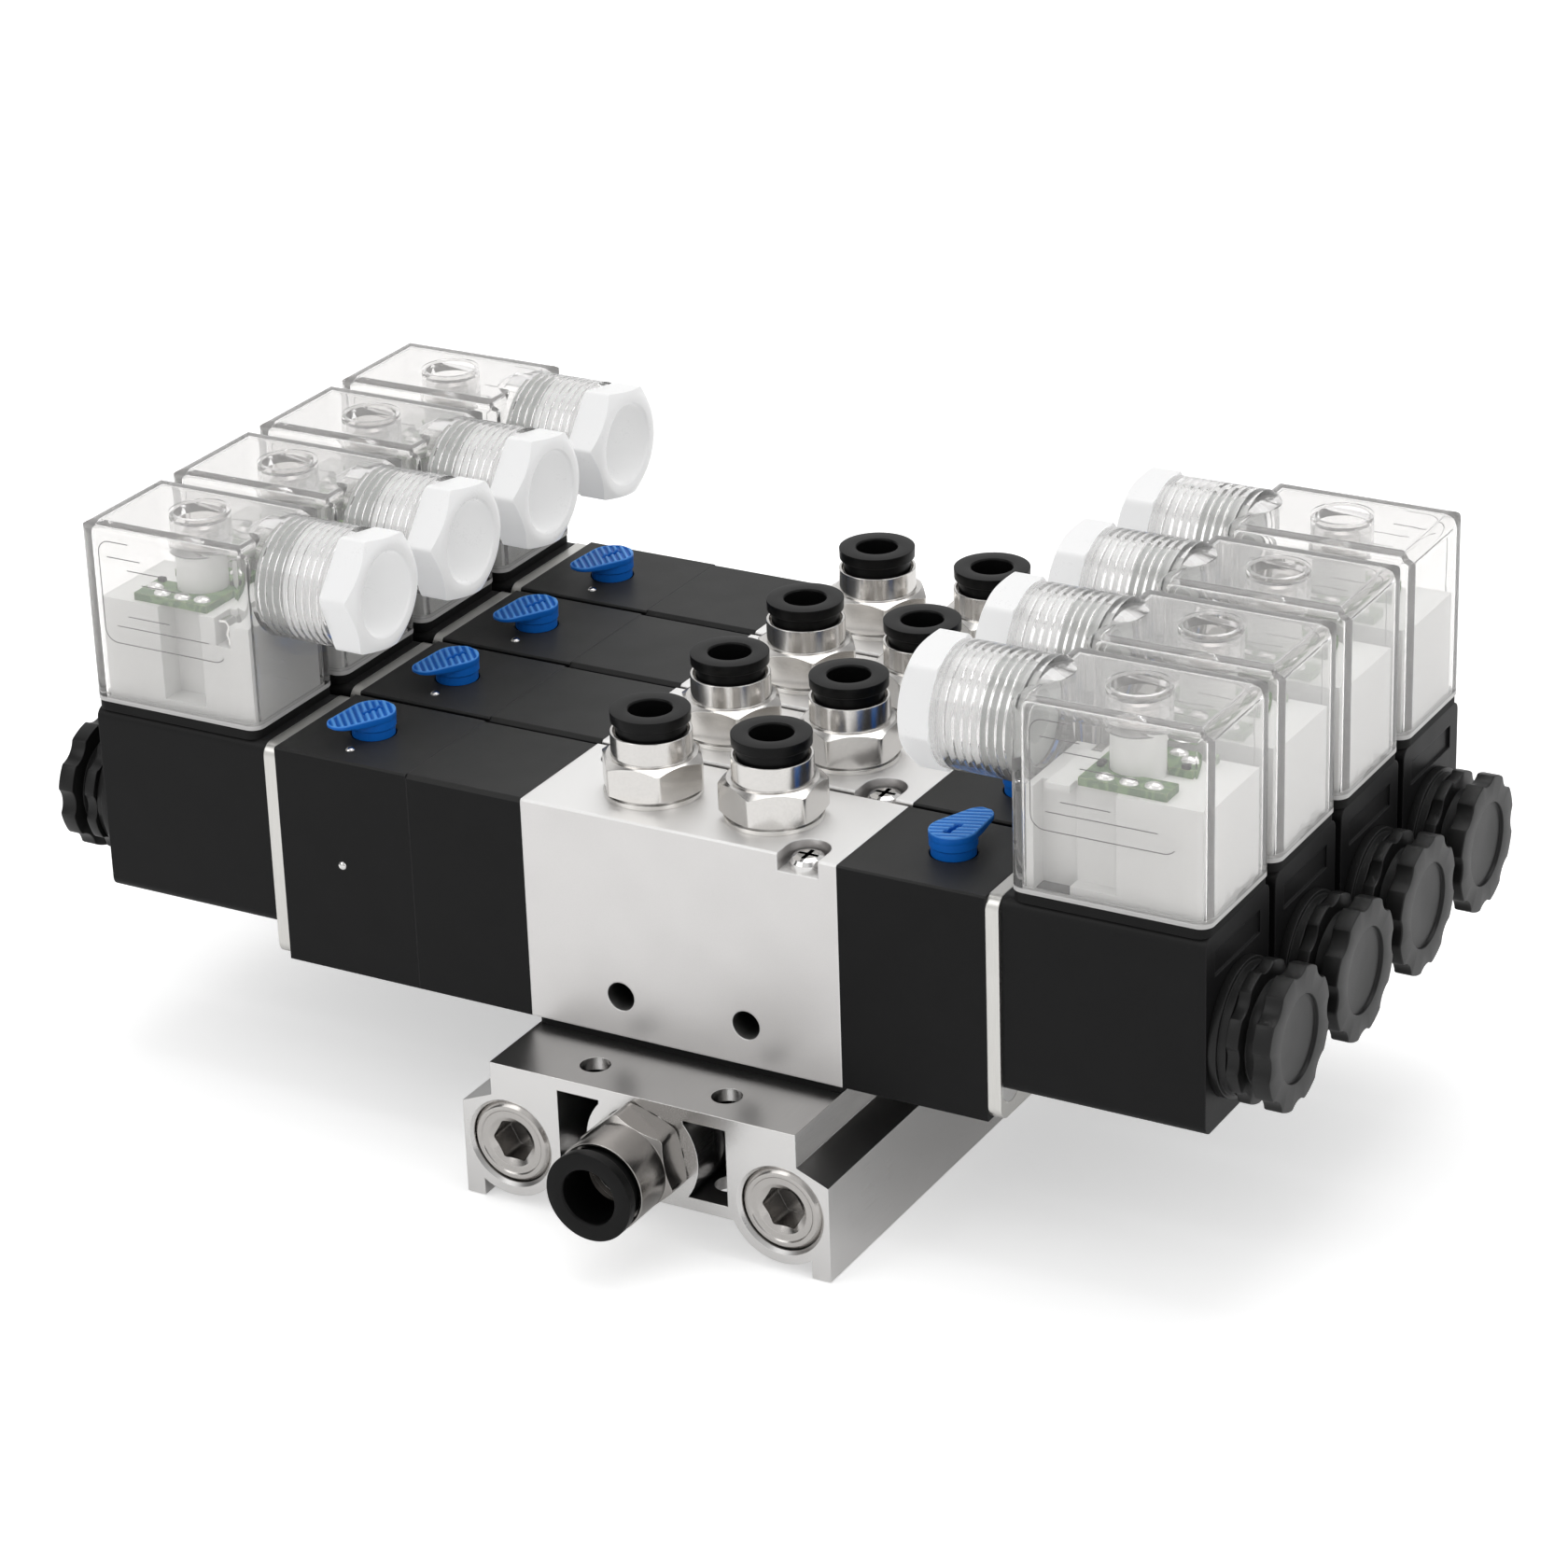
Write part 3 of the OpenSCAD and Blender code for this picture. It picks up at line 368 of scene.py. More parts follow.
# The second colour of each plastic is the highlight painted on its edges.
plastic("moulded_black", colour(0.0062, 0.0062, 0.0065), colour(0.045, 0.045, 0.046), roughness=0.44,
        grain=0.18, depth=0.012, soft_edge=0.30, dust_and_sheen=0.09, Specular_IOR_Level=DULL)
plastic("coil_black", colour(0.0062, 0.0062, 0.0065), colour(0.040, 0.040, 0.041), roughness=0.42,
        grain=0.12, depth=0.006, soft_edge=0.30, dust_and_sheen=0.05, Specular_IOR_Level=DULL)
plastic("nut_nylon", colour(0.010, 0.010, 0.010), colour(0.060, 0.060, 0.060), roughness=0.36,
        grain=0.25, depth=0.006, soft_edge=0.12, Specular_IOR_Level=SHEEN)
plastic("collar_black", colour(0.004, 0.004, 0.004), colour(0.030, 0.030, 0.030), roughness=0.36,
        grain=0.15, depth=0.004, soft_edge=0.15, Specular_IOR_Level=DULL)
plastic("black_rubber", colour(0.008, 0.008, 0.008), colour(0.022, 0.022, 0.022), roughness=0.60,
        grain=0.10, depth=0.010, soft_edge=0.20, Specular_IOR_Level=DULL)
plastic("grey_rubber", colour(0.55, 0.56, 0.55), colour(0.65, 0.66, 0.65), roughness=0.60,
        grain=0.20, depth=0.010, soft_edge=0.20, shade=0.9)
# The ribs' crests get a painted highlight colour.
plastic("blue_nylon", colour(0.006, 0.155, 0.640), colour(0.090, 0.380, 0.900), roughness=0.34,
        grain=0.15, depth=0.004, soft_edge=0.04, rib_highlight=colour(0.110, 0.390, 0.930),
        Specular_IOR_Level=SHEEN)
plastic("moulded_line", colour(0.26, 0.25, 0.25), colour(0.34, 0.33, 0.33), roughness=0.30,
        grain=0.30, depth=0.001, soft_edge=0.02)
plastic("white_nylon", colour(0.76, 0.76, 0.75), colour(0.86, 0.86, 0.85), roughness=0.42,
        grain=0.30, depth=0.006, soft_edge=0.15, shade=0.94,
        Subsurface_Weight=0.25, Subsurface_Radius=(0.001, 0.001, 0.001))
# This nylon glows a little though it is no lamp: painted light for the light that passes through it.
plastic("milky_nylon", colour(0.62, 0.62, 0.62), colour(0.70, 0.70, 0.70), roughness=0.30,
        grain=0.30, depth=0.004, soft_edge=0.15, shade=0.97,
        Subsurface_Weight=0.7, Subsurface_Radius=(0.004, 0.004, 0.004),
        Emission_Color=colour(1, 1, 1), Emission_Strength=0.30)
print("plastics", len(FINISHES))

# %% [markdown]
# Metal
#
# The base is an extrusion milled on top, so its scratches run along it. The valve bodies are blasted
# and anodised, an even satin. The fittings are turned brass with a bright nickel plating. All are
# bare metal, whose colour is the colour of its reflections, so one function with other colours,
# grain and stretch makes them all. Edges get a painted highlight; the tops of the valve bodies get
# painted light and those of the base painted shade. Bores get painted shade, because little light
# gets out of them.

# %% Metal
METAL_CLOUD, CLOUD_TINT, SCRATCH_TINT, TINT_SHADE = 9, 0.25, 0.6, 0.8
METAL_GLOSS, MILLED_GLOSS = 0.08, 0.15
# Shade painted in holes: its reach, start and gain, and below it its colour.
HOLLOW_REACH, HOLLOW_START, HOLLOW_GAIN = 6, 0.4, 2.5
PAINTED_HOLLOW_SHADE = colour(0.010, 0.010, 0.010)


def metal(name, base, edge, roughness, grain, soft_edge, depth=0.002, stretch=(1, 1, 1),
          sparkle=0.10, painted_top=0.0, top=colour(0.10, 0.10, 0.10), hollow_shade=0.9):
    """Metal with a grain that stretch draws out into brushing, highlights painted on the edges and
    shade painted in holes.

    The faces that look up go part of the way to the colour top, which paints light or shade on them,
    and they get rougher as if milled. sparkle is how much the grain changes the roughness, and the
    last argument how fast the painted shade in a hole gets dark.
    """
    f = Finish(name)
    normal = f.rounded(soft_edge)
    cloud = f.noise(METAL_CLOUD, 2)
    scratch = f.noise(grain, 3, stretch)
    # Painted light or shade on the faces that look up; they are also rougher, as if milled.
    up = f.upwards() * painted_top
    worn = (scratch - 0.35).limited() * SCRATCH_TINT + cloud * CLOUD_TINT
    tone = f.blend(worn, base, darker(base, TINT_SHADE))
    tone = f.blend(up, tone, top)
    # A highlight painted along the edges, in the colour edge.
    tone = f.blend(f.edges(normal), tone, edge)
    # Painted shade in holes, by how closed in a point is.
    deep = ((f.recess(HOLLOW_REACH) - HOLLOW_START) * HOLLOW_GAIN * hollow_shade).limited()
    tone = f.blend(deep, tone, PAINTED_HOLLOW_SHADE)
    rough = roughness + (scratch - 0.5) * sparkle + (cloud - 0.5) * METAL_GLOSS + up * MILLED_GLOSS
    return keep(name, f.surface(Base_Color=tone, Metallic=1.0, Roughness=rough,
                                Normal=f.bump(scratch, depth, normal)))


# %% Metals of this manifold
ALONG_BASE, UPRIGHT = (1, 60, 1), (1, 1, 25)
# The base's tops are painted darker: painted shade.
metal("extruded_aluminium", colour(0.78, 0.77, 0.76), colour(0.95, 0.94, 0.93), roughness=0.25,
      grain=0.10, stretch=ALONG_BASE, depth=0.003, soft_edge=0.15, painted_top=0.55)
# The valve bodies' tops are painted paler: painted light.
metal("satin_aluminium", colour(0.80, 0.785, 0.775), colour(0.96, 0.955, 0.95), roughness=0.40,
      grain=0.09, depth=0.004, soft_edge=0.30, sparkle=0.14, painted_top=0.8,
      top=colour(0.97, 0.965, 0.955))
metal("pale_steel", colour(0.74, 0.73, 0.70), colour(0.92, 0.91, 0.88), roughness=0.33,
      grain=0.12, stretch=UPRIGHT, depth=0.004, soft_edge=0.20)
metal("bright_steel", colour(0.82, 0.81, 0.80), colour(0.95, 0.95, 0.95), roughness=0.12,
      grain=0.30, soft_edge=0.08)
metal("nickel", colour(0.80, 0.78, 0.755), colour(0.97, 0.96, 0.94), roughness=0.20,
      grain=0.40, soft_edge=0.10, hollow_shade=0.5)
metal("dull_nickel", colour(0.34, 0.325, 0.31), colour(0.90, 0.89, 0.86), roughness=0.22,
      grain=0.40, soft_edge=0.10, hollow_shade=0.5)
metal("plug_steel", colour(0.56, 0.54, 0.52), colour(0.88, 0.86, 0.83), roughness=0.18,
      grain=0.25, depth=0.004, soft_edge=0.12, hollow_shade=0.7)
metal("spring_steel", colour(0.55, 0.55, 0.56), colour(0.80, 0.80, 0.80), roughness=0.25,
      grain=0.20, soft_edge=0.05)
metal("spool_aluminium", colour(0.80, 0.80, 0.81), colour(0.92, 0.92, 0.92), roughness=0.20,
      grain=0.15, soft_edge=0.10)
metal("plunger_steel", colour(0.60, 0.60, 0.61), colour(0.82, 0.82, 0.82), roughness=0.28,
      grain=0.15, depth=0.003, soft_edge=0.10)
metal("stem_brass", colour(0.76, 0.60, 0.30), colour(0.92, 0.78, 0.50), roughness=0.24,
      grain=0.15, soft_edge=0.10)
metal("solder", colour(0.86, 0.86, 0.85), colour(0.95, 0.95, 0.95), roughness=0.18,
      grain=0.60, depth=0.010, soft_edge=0.05)
print("finishes", len(FINISHES))

# %% [markdown]
# Circuit board
#
# A board is green lacquer over copper tracks, with bare edges where it was sawn. Drawn tracks would
# hardly be seen through the cover, so they are a wandering pattern of the same kind as wood grain:
# the noise value is cut into bands, and the bands are a little paler.

# %% Board
TRACK_SIZE, TRACK_BANDS, TRACK_START, TRACK_GAIN, TRACK_H = 5, 6, 0.55, 8, 0.02
LACQUER, TRACK = colour(0.060, 0.130, 0.045), colour(0.130, 0.230, 0.085)
SAWN_EDGE = colour(0.66, 0.60, 0.32)


def board_finish():
    """Green lacquer with paler bands where the noise times TRACK_BANDS is far from a whole number."""
    f = Finish("green_board")
    field = f.noise(TRACK_SIZE, 1) * TRACK_BANDS
    bands = abs((field - field.nearest()) * 2)
    track = ((bands - TRACK_START) * TRACK_GAIN).limited()
    normal = f.rounded(0.08)
    tone = f.blend(f.edges(normal), f.blend(track, LACQUER, TRACK), SAWN_EDGE)
    return keep("green_board", f.surface(Base_Color=tone, Roughness=0.30 + track * 0.08,
                                         Normal=f.bump(track, TRACK_H, normal)))


print("board", board_finish().name)

# %% [markdown]
# Clear covers
#
# The covers are clear polycarbonate with a real wall all round. A see-through mix would look like a
# thin film, so light is bent on the way in and out of the wall, and the edges go dark by
# themselves. The plastic also scatters a little light, more where it is seen aslant and along the
# foot, which lifts the darkest edges. A lamp's light can't be followed through bent glass without
# noise, so for shadow rays alone the material is plainly see-through.

# %% Clear plastic
HAZE, NECK_SHARE, EDGE_HAZE, FOOT_HAZE = 0.11, 0.4, 0.30, 0.55
FOOT_BAND, FADE, ASLANT_FROM = 0.8, 0.2, 0.35
RIPPLE_SIZE, RIPPLE_H, BEND = 7, 0.03, 1.42
WALL_TINTS = colour(0.950, 0.942, 0.937), colour(0.925, 0.916, 0.910)
TOP_TINT, NECK_TINT = colour(0.865, 0.855, 0.850), colour(0.820, 0.815, 0.810)
MILK_TINTS = colour(0.86, 0.85, 0.84), colour(0.80, 0.79, 0.78)


def cover_share(f):
    """1 on the box of a cover and 0 on its neck, by the distance from the middle of the row."""
    row_middle, row_half = (valve_right + spring_left) / 2, (valve_right - spring_left) / 2
    return ((abs(f.along("X") - row_middle) - (row_half + COVER_IN)) / FADE).limited()


def foot_share(f):
    """1 within FOOT_BAND of a cover's foot, and 0 above it."""
    return ((COVER_FOOT + FOOT_BAND - f.along("Z")) / FADE).limited()


def clear_finish():
    """Tinted glass mixed with milk by a share of haze, and see-through for shadow rays."""
    f = Finish("clear_cover")
    aslant = f.node("ShaderNodeLayerWeight", {}, {"Blend": ASLANT_FROM}, output="Facing")
    box = cover_share(f)
    cloudy = HAZE * (NECK_SHARE + box * (1 - NECK_SHARE)) + (aslant ** 3) * box * EDGE_HAZE
    cloudy = (cloudy + foot_share(f) * FOOT_HAZE).limited()
    ripple = f.noise(RIPPLE_SIZE, 2)
    tint = f.blend(f.upwards(), f.blend(ripple * 0.4, *WALL_TINTS), TOP_TINT)
    glass = f.node("ShaderNodeBsdfPrincipled", {}, {
        "Base Color": f.blend(box, NECK_TINT, tint),
        "Roughness": 0.012 + (f.noise(0.5, 2) - 0.5).limited() * 0.05,
        "Transmission Weight": 1.0, "IOR": BEND, "Normal": f.bump(ripple, RIPPLE_H)})
    milk = f.node("ShaderNodeBsdfPrincipled", {}, {
        "Base Color": f.blend(ripple, *MILK_TINTS), "Roughness": 0.3})
    body = f.node("ShaderNodeMixShader", {}, {0: cloudy, 1: glass, 2: milk})
    open_air = f.node("ShaderNodeBsdfTransparent", {}, {"Color": colour(0.93, 0.94, 0.94)})
    shadow = f.node("ShaderNodeLightPath", output="Is Shadow Ray")
    f.output(f.node("ShaderNodeMixShader", {}, {0: shadow, 1: body, 2: open_air}))
    return keep("clear_cover", f.material)


print("cover", clear_finish().name)

# %% [markdown]
# Finishes for the CAD nodes
#
# Most CAD nodes keep their own mesh, which is right as it is, and only get a better material. The
# list below says which finish goes on which node. It goes by the first words of the node's name,
# because a name such as valve_body is followed by the number of its station.

# %% Dress the CAD nodes
NODE_FINISH = {
    "manifold_base": "extruded_aluminium", "valve_body": "satin_aluminium",
    "valve_gaskets": "black_rubber", "spring_housings": "moulded_black",
    "pilot_housings": "moulded_black", "tube_plates": "pale_steel", "coils": "coil_black",
    "coil_nuts": "nut_nylon", "connector_gaskets": "black_rubber", "terminal_blocks": "white_nylon",
    "circuit_boards": "green_board", "connector_covers": "clear_cover",
    "valve_screws": "bright_steel", "connector_screws": "plug_steel", "gland_nuts": "milky_nylon",
    "gland_seals": "grey_rubber", "fitting_bodies": "nickel", "port_plugs": "plug_steel",
    "centering_springs": "spring_steel", "plunger_springs": "spring_steel",
    "spool": "spool_aluminium", "plunger": "plunger_steel", "override_stem": "stem_brass",
    "override_knob": "blue_nylon", "outlet_collar": "collar_black", "supply_collar": "collar_black",
}


def finish_of(node):
    """The finish whose key is the longest start of the node's name."""
    return NODE_FINISH[max((key for key in NODE_FINISH if node.startswith(key)), key=len)]


for node_name, node_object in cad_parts.items():
    node_object.data.materials.clear()
    node_object.data.materials.append(FINISHES[finish_of(node_name)])
print("dressed", len(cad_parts), "CAD nodes")

# %% [markdown]
# Shapes as grids of points
#
# Fittings, nuts, collars and plugs are turned on a lathe or moulded as if they were, so each is a
# profile spun about an axis. Blender's Spin tool could do that, but not with flats or lobes. Here
# the points form a grid, with one row for each point of the profile and one column for each angle,
# and the radius may change with the angle. A shape is worked out about its own axis, then placed.

# %% Profiles
CORNER_BLUNT = 0.12


def soft_profile(profile, steps=4):
    """Points (radius, height, share) of a profile whose corners may be rounded off.

    A corner is (radius, height, rounding, share). Between A and B, the points that far before and
    after corner P, the profile runs along (1 - s)^2 A + 2 s (1 - s) P + s^2 B.
    """
    table = np.array([(*corner, 0, 0)[:4] for corner in profile], float)
    values, s = table[:, [0, 1, 3]], np.linspace(0, 1, steps)[:, None]
    points = []
    for k, rounding in enumerate(table[:, 2]):
        if rounding == 0:
            points.append(values[k:k + 1])
            continue
        first, last = (values[k] + rounding * (other - values[k]) / np.hypot(*(other - values[k])[:2])
                       for other in (values[k - 1], values[(k + 1) % len(values)]))
        points.append((1 - s) ** 2 * first + 2 * s * (1 - s) * values[k] + s ** 2 * last)
    return np.concatenate(points)


def even_angles(count=96):
    """Angles in equal steps round a full turn."""
    return np.linspace(0, 2 * np.pi, count, endpoint=False)


def hexagon_angles(corner_at=0.0, per_side=16):
    """Angles that crowd towards a hexagon's corners: 30 sin(90 s) degrees about each side's middle."""
    side = 30 * np.sin(np.pi / 2 * np.linspace(-1, 1, per_side, endpoint=False))
    return np.radians(corner_at + 30 + (60 * np.arange(6)[:, None] + side).ravel())


def hexagon(flats, corner_at=0.0):
    """Function for a hexagon's radius at an angle, with the corners a little blunt.

    The radius is half the width over the flats, divided by the cosine of the angle from the middle
    of a side, and at most CORNER_BLUNT less than at a sharp corner.
    """
    def radius(angle):
        from_middle = (angle - np.radians(corner_at)) % (np.pi / 3) - np.pi / 6
        return np.minimum(flats / 2 / np.cos(from_middle), flats / np.sqrt(3) - CORNER_BLUNT)
    return radius


def turned(profile, angle, outline=None, dip=None, hole=False):
    """Rings of points of a turned shape: x and y are radius times cosine and sine, z is height.

    outline is the largest radius at each angle of the rows whose share is 1, or with hole the
    smallest. A row beyond it slides along its slope to where the two meet, which draws the curved
    edge of a hexagon's chamfer. dip is taken off a row's radius by its share, which makes lobes.
    """
    radius, height, share = (column[:, None] + 0 * angle for column in soft_profile(profile).T)
    if dip is not None:
        radius = radius - share * dip(angle)
    if outline is not None:
        limit, sign = outline(angle), -1 if hole else 1
        beyond = np.where(share > 0.5, sign * (radius - limit), -1)
        rise, widen = np.diff(height, axis=0), sign * np.diff(radius, axis=0)
        onwards = np.clip(beyond[:-1] / np.maximum(-widen, 1e-9), 0, 1) * (beyond[1:] < 0)
        back = np.clip(beyond[1:] / np.maximum(widen, 1e-9), 0, 1) * (beyond[:-1] < 0)
        height[:-1] += onwards * rise
        height[1:] -= back * rise
        radius = np.where(beyond > 0, limit, radius)
    return np.stack([radius * np.cos(angle), radius * np.sin(angle), height], -1)


# %% Placing
def placed(points, origin, first, second):
    """Points moved to origin, with x and y along first and second and z along their cross product."""
    axes = np.array([first, second, np.cross(first, second)], float)
    return np.asarray(origin, float) + points @ axes


def at_ends(points):
    """One copy of a pilot end's points for each end, in the row."""
    return np.stack([to_row(side, station, points) for side, station in ENDS])


# %% [markdown]
# From grid to piece
#
# Four neighbours in a grid make a face, so the corner numbers of all faces are one array as well. A
# profile that ends on the axis gives many points in one place. They are merged, which closes the
# poles, and then the faces are turned outwards. Sharp corners stay sharp by their angle.

# %% Pieces
MERGE_METRES, SHARP_DEGREES = 1e-7, 32


def grid_faces(rows, columns, loop):
    """Corner numbers of a grid's faces. Columns close round; with loop the rows close as well."""
    row, column = np.meshgrid(np.arange(rows if loop else rows - 1), np.arange(columns), indexing="ij")
    below, right = (row + 1) % rows, (column + 1) % columns
    here, there = row * columns, below * columns
    return np.stack([here + column, here + right, there + right, there + column], -1).reshape(-1, 4)


def close_up(mesh):
    """Merges points that lie in one place, drops faces without area and turns the rest outwards."""
    shaped = bmesh.new()
    shaped.from_mesh(mesh)
    bmesh.ops.remove_doubles(shaped, verts=shaped.verts, dist=MERGE_METRES)
    bmesh.ops.dissolve_degenerate(shaped, edges=shaped.edges, dist=MERGE_METRES)
    bmesh.ops.recalc_face_normals(shaped, faces=shaped.faces)
    shaped.to_mesh(mesh)
    shaped.free()


def piece(name, sheets, finish, replaces=(), body=STATIC):
    """One object from sheets of rings in millimetres. A sheet is (rings, whether its rows close)."""
    points, faces, start = [], [], 0
    for rings, loop in sheets:
        rows, columns = rings.shape[-3:-1]
        for copy in rings.reshape(-1, rows * columns, 3):
            points.append(copy)
            faces.append(grid_faces(rows, columns, loop) + start)
            start += rows * columns
    mesh = bpy.data.meshes.new(name)
    mesh.from_pydata((np.concatenate(points) * MM).tolist(), [], np.concatenate(faces).tolist())
    close_up(mesh)
    mesh.shade_smooth()
    mesh.set_sharp_from_angle(angle=np.radians(SHARP_DEGREES))
    mesh.materials.append(FINISHES[finish])
    made = bpy.data.objects.new(name, mesh)
    bpy.context.collection.objects.link(made)
    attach(made, body)
    if replaces:
        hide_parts(*replaces)
    print(name, "has", len(mesh.polygons), "faces")


# %% [markdown]
# Coil nuts
#
# The nut that holds a coil has a plain flange and two tiers of eight lobes with a waist between
# them. Eight cylinders could be cut from a disc, but the outline is known at every angle, so no cut
# is needed. The hollow between two lobes is an arc of a circle that stands outside the nut. At an
# angle a from its middle the radius is d cos a - sqrt(s^2 - d^2 sin^2 a), with d the circle's
# distance and s its radius.

# %% Nuts
def lobe_dip(angle, full=10.4, lobes=8, outside=2.6, hollow=3.5):
    """How far the scalloped outline falls short of the full radius at an angle."""
    from_hollow = (angle + np.pi / lobes) % (2 * np.pi / lobes) - np.pi / lobes
    distance = full + outside
    under_root = hollow ** 2 - (distance * np.sin(from_hollow)) ** 2
    edge = distance * np.cos(from_hollow) - np.sqrt(np.maximum(under_root, 0))
    return np.where(under_root > 0, np.clip(full - edge, 0, None), 0)


nut = turned([(0, 7.3), (3.08, 7.3), (3.08, 0), (10.1, 0, 0.15), (10.1, 1.3, 0.15), (9.5, 1.3, 0.1),
              (9.5, 2.5, 0.1), (8.6, 2.7), (10.2, 2.7, 0.15, 1), (10.2, 4.5, 0.25, 1), (7.6, 4.5, 0.2),
              (7.6, 6.6, 0.2), (10.4, 6.6, 0.2, 1), (10.4, 9.3, 0.3, 1), (6.4, 9.3, 0.12),
              (6.3, 8.8, 0.1), (0, 8.8)], even_angles(192), dip=lobe_dip)
piece("lobed_nuts", [(at_ends(placed(nut, (NUT_U, 0, spool_z), -Z, Y)), False)],
      "nut_nylon", ["coil_nuts"])

# %% [markdown]
# Cable nuts
#
# A milky hexagon with its outer corners turned down, and a threaded shank that screws into the clear
# neck. A true thread climbs as it goes round, but this one is seen only through the neck's own
# thread, so a row of small ridges in the profile does the same for far fewer faces.

# %% Cable nuts
GLAND_FLATS, GLAND_TURN = 17, 20
RIDGES, RIDGE_PITCH, RIDGE_START = 5, 1.3, -6.9
RIDGE = ((7.08, 0), (7.42, 0.3), (7.42, 0.6), (7.08, 0.9))
ridges = [(radius, RIDGE_START + RIDGE_PITCH * k + step) for k in range(RIDGES) for radius, step in RIDGE]
gland = turned([(6.3, -7.5, 0.2), (7.3, -7.5, 0.2), *ridges, (7.3, 0), (9.8, 0, 0.3, 1),
                (9.8, 4.4, 0, 1), (8.0, 5.5, 0.5), (6.3, 5.5, 0.8)],
               hexagon_angles(GLAND_TURN), hexagon(GLAND_FLATS, GLAND_TURN))
piece("cable_nuts", [(at_ends(placed(gland, (GLAND_U, 0, NECK_Z), Z, Y)), True)],
      "milky_nylon", ["gland_nuts"])

# %% [markdown]
# Push-in fittings
#
# Each outlet has a hexagon for the spanner, a ring above it, and a release collar that slides in the
# ring. A hexagon could be a prism with a bevel, but on the real bar stock the corners are turned
# down, which leaves curved edges on the flats. So it is the turned shape cut by six flats. Each row
# was tightened to its own angle. The supply fitting at the front end is the same thing with a
# plain barrel and a duller plating.

# %% Fittings
OUTLET_X, SUPPLY_UP, FITTING_FLATS = 10.0, 13.8, 14
HEX_TURN = {1: 33, -1: 6}
SUPPLY_TURN = 41
middle_x = float(base_low[0] + base_high[0]) / 2
supply_at = (middle_x, base_low[1], base_low[2] + SUPPLY_UP)
outlet_profile = [(2.2, -8.5), (6.5, -8.5, 0.4), (6.5, 0), (7.3, 0, 0.1), (7.3, 0.7, 0.15), (6.9, 0.7),
                  (6.9, 0.9), (8.1, 1.5, 0, 1), (8.1, 5.3, 0, 1), (6.7, 6.2), (6.0, 6.2, 0.1),
                  (6.0, 9.8, 0.2), (5.58, 9.8, 0.1), (5.58, 7.7), (3.98, 7.7), (3.98, 5.1),
                  (3.05, 5.1), (3.05, -0.2), (2.2, -0.2)]
fittings = []
for side, turn in HEX_TURN.items():
    shape = turned(outlet_profile, hexagon_angles(turn), hexagon(FITTING_FLATS, turn))
    for i in STATIONS:
        foot = (middle_x + side * OUTLET_X, station_y[i], valve_top)
        fittings.append((placed(shape, foot, X, Y), True))
piece("push_in_fittings", fittings, "nickel", ["fitting_bodies"])

# %% Supply fitting
supply_profile = [(3.2, -10.5), (6.5, -10.5, 0.4), (6.5, 0), (7.1, 0), (7.9, 0.4, 0, 1),
                  (7.9, 4.5, 0, 1), (7.0, 5.2, 0.05), (7.0, 5.5, 0.1), (7.0, 11.8, 0.15),
                  (6.6, 11.8, 0.1), (6.4, 9.7), (4.98, 9.7), (4.98, 6.1), (4.05, 6.1),
                  (4.05, -0.7), (3.2, -0.7)]
shape = turned(supply_profile, hexagon_angles(SUPPLY_TURN), hexagon(FITTING_FLATS, SUPPLY_TURN))
piece("supply_fitting", [(placed(shape, supply_at, X, Z), True)], "dull_nickel")
# A black sleeve in the supply fitting's bore: painted shade, a dark sheet where the deep bore is in
# shade.
bore_shade_sleeve = turned([(0, -0.6), (4.04, -0.6), (4.04, 6.0), (3.9, 6.0), (3.9, -0.4), (0, -0.4)],
                even_angles(64))
piece("supply_bore_shade", [(placed(bore_shade_sleeve, supply_at, X, Z), True)], "black_rubber")

# %% [markdown]
# Release collars
#
# Pressed in, a collar lets go of the tube. It is a thin sleeve with a flange that stands a little
# off the ring. Each is a piece of its own and rides on its own body, because each moves alone.

# %% Release collars
OUTLET_MOUTH, SUPPLY_MOUTH = 9.8, 11.8
collar = turned([(3.2, -3), (3.9, -3), (3.9, -0.4), (5.2, -0.4), (5.2, 1.3), (5.5, 1.6, 0.1),
                 (5.85, 1.6, 0.05), (5.9, 3.2, 0.08), (3.4, 3.2, 0.05), (3.2, 3.0, 0.1)], even_angles())
for side, letter in ((-1, "a"), (1, "b")):
    for i in STATIONS:
        foot = (middle_x + side * OUTLET_X, station_y[i], valve_top + OUTLET_MOUTH)
        node = f"outlet_collar_{letter}_{i}"
        piece(f"collar_{letter}_{i}", [(placed(collar, foot, X, Y), True)],
              "collar_black", [node], node)
collar = turned([(4.2, -4), (4.9, -4), (4.9, -0.4), (6.2, -0.4), (6.2, 1.5), (6.9, 1.6, 0.1),
                 (6.9, 3.2, 0.15), (4.4, 3.2, 0.08), (4.2, 2.9, 0.1)], even_angles())
foot = (supply_at[0], supply_at[1] - SUPPLY_MOUTH, supply_at[2])
piece("collar_supply", [(placed(collar, foot, X, Z), True)],
      "collar_black", ["supply_collar"], "supply_collar")

# %% [markdown]
# Port plugs
#
# The exhaust ports at the front and the supply channel at the rear are closed by plugs with a hexagon
# socket. A countersink leads into the socket. It could be cut with a Boolean, but it is the same
# sum as for a hexagon nut, turned inside out: a cone cut by the hexagon from the inside.

